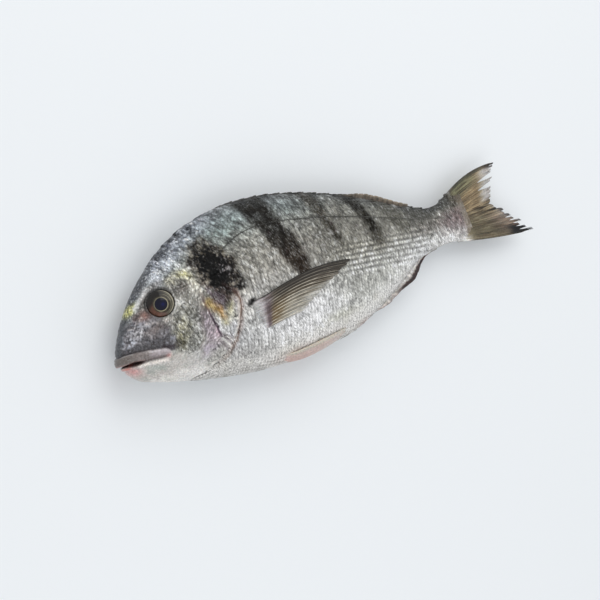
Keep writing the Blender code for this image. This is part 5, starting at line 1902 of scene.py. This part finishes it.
@dataclass(frozen=True)
class PectoralFin(RayedFin):
    """A breast fin folded back on the flank: olive membrane between light rays."""

    side: Side = Side.LEFT
    rays: int = 12
    columns: int = 9
    rows: int = 44
    root_thickness: float = 0.0020
    edge_thickness: float = 0.00025
    ray_girth: float = 0.00035
    tip_girth: float = 0.00017
    branches: tuple[float, ...] = (0.66,)
    thinning: float = 5.0
    root_top: tuple[float, float] = (0.0789, 0.0020)
    root_low: tuple[float, float] = (0.0814, -0.0148)
    length: float = 0.0735
    shortest: float = 0.0275
    bow: float = 0.0042
    sweep: float = 0.0

    def place(self, share: Array, reach: Array) -> tuple[Array, Array]:
        """Middle-plane points and normals: share -1 is the upper edge."""
        low = (share + 1) / 2
        x = self.root_top[0] + (self.root_low[0] - self.root_top[0]) * low
        y = self.root_top[1] + (self.root_low[1] - self.root_top[1]) * low
        length = self.shortest + (self.length - self.shortest) * (1 - np.clip(low, 0, 1)) ** 1.15
        course = self.sweep + math.radians(5) * low * (1 - 0.6 * reach)
        x = x + np.cos(course) * length * reach
        y = y + np.sin(course) * length * reach + self.bow * np.sin(math.pi * np.clip(reach, 0, 1) ** 1.25) * (1 - low)
        angle = ANATOMY.angle_at(x, y, self.side)
        base, normal, _ = ANATOMY.patch(x, angle, np.zeros(len(x)))
        lobe = 0.0011 * np.exp(-((reach - 0.10) / 0.10) ** 2) * (1 - low ** 4)
        lift = 0.0019 * smooth_step(-0.02, 0.13, reach) - 0.0012 + 0.0003 * np.sin(math.pi * reach) + lobe * (1 if self.side is Side.LEFT else 0.2)
        return base + normal * lift[:, None], normal * (1 if self.side is Side.LEFT else -1)

    def split(self, border: int) -> tuple[float, float]:
        """Where the membrane parts between two rays, and how much of a strip it takes."""
        return 0.93, 0.20

    def membrane_base(self, share: Array, reach: Array) -> Array:
        """The membrane's colours before its rays."""
        low = (share + 1) / 2
        points, _ = self.place(share, reach)
        wide = Grain(33)(np.stack([share * 9, reach * 6, share * 0], 1), 1.0)
        c = np.tile(np.array([84.0, 75, 62]), (len(share), 1))
        c = over(c, (122, 102, 72), 0.75 * band(reach, 0.16, 0.42, 0.1) * smooth_step(0.25, 0.6, low))
        c = over(c, (56, 52, 48), 0.75 * (1 - smooth_step(0.10, 0.42, low)) * smooth_step(0.12, 0.35, reach))
        c = over(c, (120, 116, 106), 0.60 * smooth_step(0.70, 0.98, reach) * smooth_step(0.35, 0.7, low))
        c = over(c, (196, 192, 180), 0.80 * smooth_step(0.45, 0.85, low + 0.14 * wide + 0.20 * reach) * smooth_step(0.22, 0.5, reach))
        c = over(c, (130, 108, 74), 0.50 * spot(reach, low, (0.30, 0.72), (0.20, 0.26)))
        c = over(c, (236, 228, 231), 0.92 * (1 - smooth_step(0.05, 0.24, reach + 0.05 * wide)))
        c = over(c, (92, 74, 80), 0.66 * band(reach, 0.10, 0.19, 0.03) * (0.4 + 0.6 * smooth_step(0.05, 0.4, low + 0.2 * wide)))
        c = over(c, (34, 32, 29), 0.80 * (1 - smooth_step(0.0, 0.07, low)) * smooth_step(0.02, 0.1, reach))
        root = 1 - smooth_step(0.02, 0.09, reach + 0.02 * wide)
        rear = 0.75 * smooth_step(0.78, 1.0, reach + 0.10 * wide) * smooth_step(0.15, 0.5, low)
        root = np.maximum(root, np.maximum(rear, 0.5 * smooth_step(0.90, 1.0, low + 0.05 * wide)))
        return over(c, (0, 0, 0), root) + Pigment().tint(points / MM, ANATOMY, True) * root[:, None]

    def colours(self, share: Array, reach: Array) -> Array:
        """The membrane's display colours."""
        fine = Grain(31)(np.stack([share * 40, reach * 4, share * 0], 1), 1.0)
        return self.membrane_base(share, reach) * (0.84 + 0.16 * fine)[:, None]

    def ray_colours(self, share: Array, reach: Array) -> Array:
        """Light beige rays, darker along the upper edge."""
        low = (share + 1) / 2
        fine = Grain(32)(np.stack([share * 24, reach * 9, share * 0], 1), 1.0)
        c = self.membrane_base(share, reach)
        pale = (0.22 + 0.55 * smooth_step(0.10, 0.45, low + 0.12 * reach)) * smooth_step(0.12, 0.30, reach)
        return over(c, (222, 214, 196), np.clip(pale * (0.85 + 0.7 * fine), 0, 1))


@dataclass(frozen=True)
class PelvicFin(RayedFin):
    """A belly fin folded back along the belly: pinkish, with a beige spine."""

    side: Side = Side.LEFT
    rays: int = 6
    columns: int = 7
    rows: int = 30
    root_thickness: float = 0.0018
    edge_thickness: float = 0.0004
    ray_girth: float = 0.00050
    tip_girth: float = 0.00014
    root_x: float = 0.0890
    length: float = 0.0470
    upper_angle: tuple[float, float] = (math.radians(-66), math.radians(-61))
    lower_angle: tuple[float, float] = (math.radians(-74), math.radians(-84))

    def place(self, share: Array, reach: Array) -> tuple[Array, Array]:
        """Middle-plane points and normals: share -1 is the edge nearer the flank."""
        low = (share + 1) / 2
        x = self.root_x + self.length * reach * (1 - 0.34 * np.clip(low, 0, 1) ** 1.5)
        opened = smooth_step(-0.1, 0.6, reach)
        upper = self.upper_angle[0] + (self.upper_angle[1] - self.upper_angle[0]) * opened
        lower = self.lower_angle[0] + (self.lower_angle[1] - self.lower_angle[0]) * opened
        angle = upper + (lower - upper) * low
        angle = angle if self.side is Side.LEFT else math.pi - angle
        base, normal, _ = ANATOMY.patch(x, angle, np.zeros(len(x)))
        lift = -0.0014 + 0.0024 * smooth_step(-0.02, 0.22, reach) + 0.0004 * np.sin(math.pi * reach)
        return base + normal * lift[:, None], normal * (1 if self.side is Side.LEFT else -1)

    def colours(self, share: Array, reach: Array) -> Array:
        """The membrane's display colours."""
        low = (share + 1) / 2
        fine = Grain(41)(np.stack([share * 30, reach * 6, share * 0], 1), 1.0)
        c = np.tile(np.array([202.0, 180, 172]), (len(share), 1))
        c = over(c, (206, 200, 184), 0.8 * (1 - smooth_step(0.10, 0.30, low)))
        c = over(c, (190, 158, 150), 0.5 * band(reach, 0.1, 0.55, 0.15) * smooth_step(0.3, 0.7, low))
        c = over(c, (200, 198, 192), 0.5 * smooth_step(0.6, 0.95, reach))
        return c * (1 + 0.06 * fine)[:, None]

    def ray_colours(self, share: Array, reach: Array) -> Array:
        """Rays a little lighter than the membrane."""
        return np.clip(self.colours(share, reach) * 1.05 + 3, 0, 255)


@dataclass(frozen=True)
class RidgeFin(RayedFin):
    """A low fin folded into its groove on the back or the belly."""

    upward: int = 1
    start: float = 0.345
    end: float = 0.855
    soft_from: float = 0.67
    spines: int = 11
    spine_height: float = 0.0012
    soft_height: float = 0.0026
    rays: int = 40
    columns: int = 5
    rows: int = 10
    root_thickness: float = 0.0028
    edge_thickness: float = 0.0007
    ray_girth: float = 0.00050
    tip_girth: float = 0.00022
    branches: tuple[float, ...] = ()
    sweep: float = 1.3

    def free_height(self, share: Array) -> Array:
        """The folded fin's height along its base."""
        low = np.clip((share + 1) / 2, 0, 1)
        tooth = (low / self.soft_from * self.spines) % 1.0
        spiny = self.spine_height * (0.55 + 0.45 * tooth) * smooth_step(-0.02, 0.08, low)
        along = (low - self.soft_from) / (1 - self.soft_from)
        soft = self.spine_height + (self.soft_height - self.spine_height) * smooth_step(0, 0.35, along)
        return np.where(low < self.soft_from, spiny, soft * (1 - 0.45 * np.clip(along, 0, 1) ** 2))

    def place(self, share: Array, reach: Array) -> tuple[Array, Array]:
        """Middle-plane points and normals along the fin's base and height."""
        x = ANATOMY.length * (self.start + (self.end - self.start) * (share + 1) / 2)
        height = self.free_height(share)
        root = ANATOMY.skin(x, np.full(len(x), self.upward * math.pi / 2))
        sway = 0.00025 * np.sin(x * 900) * reach
        shift = np.stack([height * reach * self.sweep, self.upward * (height * reach - 0.0006 * (1 - reach)), sway], 1)
        return root + shift, np.tile([0.0, 0.0, float(self.upward)], (len(x), 1))

    def split(self, border: int) -> tuple[float, float]:
        """Where the membrane parts between two rays, and how much of a strip it takes."""
        return 0.8, 0.3

    def colours(self, share: Array, reach: Array) -> Array:
        """The membrane's display colours."""
        low = (share + 1) / 2
        fine = Grain(51)(np.stack([share * 160, reach * 2, share * 0], 1), 1.0)
        c = np.tile(np.array([78.0, 78, 76]), (len(share), 1))
        c = over(c, (92, 82, 70), 0.85 * smooth_step(self.soft_from - 0.04, self.soft_from + 0.06, low))
        c = over(c, (172, 160, 142), 0.7 * smooth_step(0.55, 0.95, reach) * smooth_step(self.soft_from, 0.8, low))
        c = c * (1 + 0.24 * fine)[:, None]
        return over(c, (40, 38, 36), 0.6 * smooth_step(0.7, 1.0, reach) * (low < self.soft_from))

    def ray_colours(self, share: Array, reach: Array) -> Array:
        """Dark spines, and soft rays lighter than the membrane."""
        low = (share + 1) / 2
        c = self.colours(share, reach)
        c = over(c, (52, 50, 48), 0.7 * (1 - smooth_step(self.soft_from - 0.05, self.soft_from, low)))
        return over(c, (196, 178, 150), 0.4 * smooth_step(self.soft_from, self.soft_from + 0.05, low))


@dataclass(frozen=True)
class AnalFin(RidgeFin):
    """The fin behind the vent, folded, with a dark streak along it."""

    upward: int = -1
    start: float = 0.655
    end: float = 0.866
    soft_from: float = 0.35
    spines: int = 3
    rays: int = 18
    rows: int = 14
    tallest: float = 0.0046
    root_thickness: float = 0.0022
    edge_thickness: float = 0.0004
    ray_girth: float = 0.00026
    tip_girth: float = 0.00008

    def free_height(self, share: Array) -> Array:
        """The folded fin's height along its base."""
        low = np.clip((share + 1) / 2, 0, 1)
        tooth = (low / self.soft_from * self.spines) % 1.0
        spiny = self.tallest * (0.45 + 0.10 * tooth) * smooth_step(-0.05, 0.20, low)
        soft = self.tallest * (0.55 + 0.40 * smooth_step(self.soft_from, 0.64, low))
        return np.where(low < self.soft_from, spiny, soft * (1 - 0.86 * smooth_step(0.50, 1.04, low)))

    def thickness(self, share: Array, reach: Array) -> Array:
        """The membrane's thickness, less toward the rear."""
        return super().thickness(share, reach) * (1 - 0.55 * smooth_step(0.2, 1.0, share))

    def split(self, border: int) -> tuple[float, float]:
        """Where the membrane parts between two rays, and how much of a strip it takes."""
        return 0.97, 0.1

    def tip(self, ray: Array) -> Array:
        """How far each ray reaches."""
        return np.ones(np.shape(ray))

    def colours(self, share: Array, reach: Array) -> Array:
        """The membrane's display colours."""
        fine = Grain(52)(np.stack([share * 60, reach * 3, share * 0], 1), 1.0)
        low = (share + 1) / 2
        c = np.tile(np.array([196.0, 190, 184]), (len(share), 1))
        c = over(c, (222, 220, 216), 0.70 * (1 - smooth_step(0.3, 0.55, reach)))
        streak = smooth_step(0.48, 0.66, reach + 0.12 * fine) * smooth_step(0.30, 0.46, low) * (1 - smooth_step(0.90, 0.99, low))
        c = over(c, (46, 38, 37), 0.92 * streak)
        c = over(c, (110, 92, 88), 0.60 * smooth_step(0.78, 0.95, reach) * (1 - smooth_step(0.30, 0.46, low)))
        return c * (1 + 0.22 * fine)[:, None]

    def ray_colours(self, share: Array, reach: Array) -> Array:
        """Rays close to the membrane's colour."""
        return self.colours(share, reach) * 1.05


# ---------------------------------------------------------------------------- studio


@dataclass(frozen=True)
class Studio:
    """A plain pale floor, soft light and the camera."""

    eye_point: tuple[float, float, float] = (-0.245924, 0.034219, 0.722216)
    right: tuple[float, float, float] = (0.81911149, -0.3744522, 0.43455945)
    up: tuple[float, float, float] = (0.3570298, 0.92573039, 0.12471151)
    back: tuple[float, float, float] = (-0.44898339, 0.05299804, 0.891967)
    lens: float = 84.0
    floor_size: float = 6.0

    def camera(self) -> None:
        """Places the camera, which looks down on the left flank from ahead of the fish."""
        data = bpy.data.cameras.new("camera")
        data.lens = self.lens
        data.sensor_width = 36
        data.clip_end = 20
        camera = bpy.data.objects.new("camera", data)
        where = Vector(self.eye_point) + ANATOMY.origin()
        columns = [Vector(self.right), Vector(self.up), Vector(self.back), where]
        matrix = Matrix([[c[k] for c in columns] for k in range(3)] + [[0, 0, 0, 1]])
        camera.matrix_world = matrix
        bpy.context.scene.collection.objects.link(camera)
        bpy.context.scene.camera = camera

    def floor(self) -> None:
        """A pale floor of one even tone."""
        half = self.floor_size / 2
        mesh = bpy.data.meshes.new("floor")
        mesh.from_pydata([(-half, -half, 0), (half, -half, 0), (half, half, 0), (-half, half, 0)], [], [(0, 1, 2, 3)])
        floor = bpy.data.objects.new("floor", mesh)
        material = bpy.data.materials.new("pale_floor")
        material.use_nodes = True
        shader = material.node_tree.nodes["Principled BSDF"]
        shader.inputs["Base Color"].default_value = (0.865, 0.895, 0.915, 1)
        shader.inputs["Roughness"].default_value = 0.7
        mesh.materials.append(material)
        bpy.context.scene.collection.objects.link(floor)

    def light(self, name: str, where: tuple[float, float, float], size: float, power: float,
              colour: tuple[float, float, float]) -> None:
        """One square soft light that faces the fish."""
        data = bpy.data.lights.new(name, "AREA")
        data.shape = "SQUARE"
        data.size = size
        data.energy = power
        data.color = colour
        lamp = bpy.data.objects.new(name, data)
        lamp.location = where
        lamp.rotation_euler = (-Vector(where)).to_track_quat("-Z", "Y").to_euler()
        bpy.context.scene.collection.objects.link(lamp)

    def lights(self) -> None:
        """Soft daylight from all round, a broad key from the back's side and a fill from the belly's."""
        world = bpy.data.worlds.new("daylight")
        world.use_nodes = True
        sky = world.node_tree.nodes["Background"]
        sky.inputs["Color"].default_value = (0.97, 0.98, 1.0, 1)
        sky.inputs["Strength"].default_value = 0.72
        bpy.context.scene.world = world
        self.light("key", (0.35, 0.75, 0.95), 1.1, 5.0, (1.0, 0.99, 0.97))
        self.light("fill", (-0.5, -0.7, 0.9), 0.8, 2.2, (0.98, 0.99, 1.0))
        bpy.context.scene.view_settings.view_transform = "Standard"

    def build(self) -> None:
        """Sets up the floor, the lights and the camera."""
        self.floor()
        self.lights()
        self.camera()


ANATOMY = Anatomy()
SKIN = Coating("wet_skin", (0.22, 0.46), metallic=0.05, coat=0.10, specular=0.30, subsurface=0.04, mottle_size=0.0009,
               mottle=(0.70, 1.26), bump_size=0.0008, bump=0.55, glint=0.16, glint_size=0.0007)
SCALES = Coating("silver_scales", (0.26, 0.46), metallic=0.12, coat=0.0, specular=0.10, mottle_size=0.0008,
                 mottle_stretch=(0.50, 2.6, 1.0), mottle_turn=0.27, mottle=(0.34, 1.58), bump_size=0.0005, bump=0.25,
                 rim_shade=0.48, glint=0.28, glint_size=0.0008)
CORNEA = Coating("wet_eye", (0.05, 0.12), coat=0.25, coat_roughness=0.03, specular=0.2, mottle_size=0.0008,
                 mottle=(0.90, 1.08), bump=0.0)
MEMBRANE = Coating("fin_membrane", (0.32, 0.52), coat=0.05, specular=0.25, subsurface=0.10, mottle_size=0.0008,
                   mottle=(0.70, 1.24), bump_size=0.0006, bump=0.30)
RAYS = Coating("fin_rays", (0.30, 0.45), coat=0.10, specular=0.25, mottle_size=0.0012, mottle=(0.80, 1.14), bump=0.10)


def main() -> None:
    """Builds the fish piece by piece, then the studio."""
    logging.basicConfig(level=logging.INFO, format="%(name)s: %(message)s")
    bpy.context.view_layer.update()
    hide = Hide()
    hide.head()
    hide.trunk()
    coat = ScaleCoat()
    for side in Side:
        coat.coat(side)
        Eye(side).build()
        SkinLine("lateral_line", side, LINES.lateral[:-1] + ((232.0, 1.8),), LINES.lateral_tones).build()
        for number, course in enumerate(LINES.rims):
            SkinLine("gill_rim_%d" % number, side, course, ((50, 236), (70, 236)), (1.0, 0.99, 0.97), 1.2, 1.0,
                     0.00042 - 0.00014 * number, 0.00040).build()
        word = side.name.lower()
        sweep = 0.0 if side is Side.LEFT else ANATOMY.pocket_sweep
        PectoralFin("breast_fin_" + word, ("pectoral_fin_" + word,), side=side, sweep=sweep).build()
        PelvicFin("belly_fin_" + word, ("pelvic_fin_" + word,), side=side).build()
    CaudalFin().build()
    RidgeFin("back_fin", ("dorsal_fin",)).build()
    AnalFin("vent_fin", ("anal_fin",)).build()
    Studio().build()


if __name__ == "__main__":
    main()
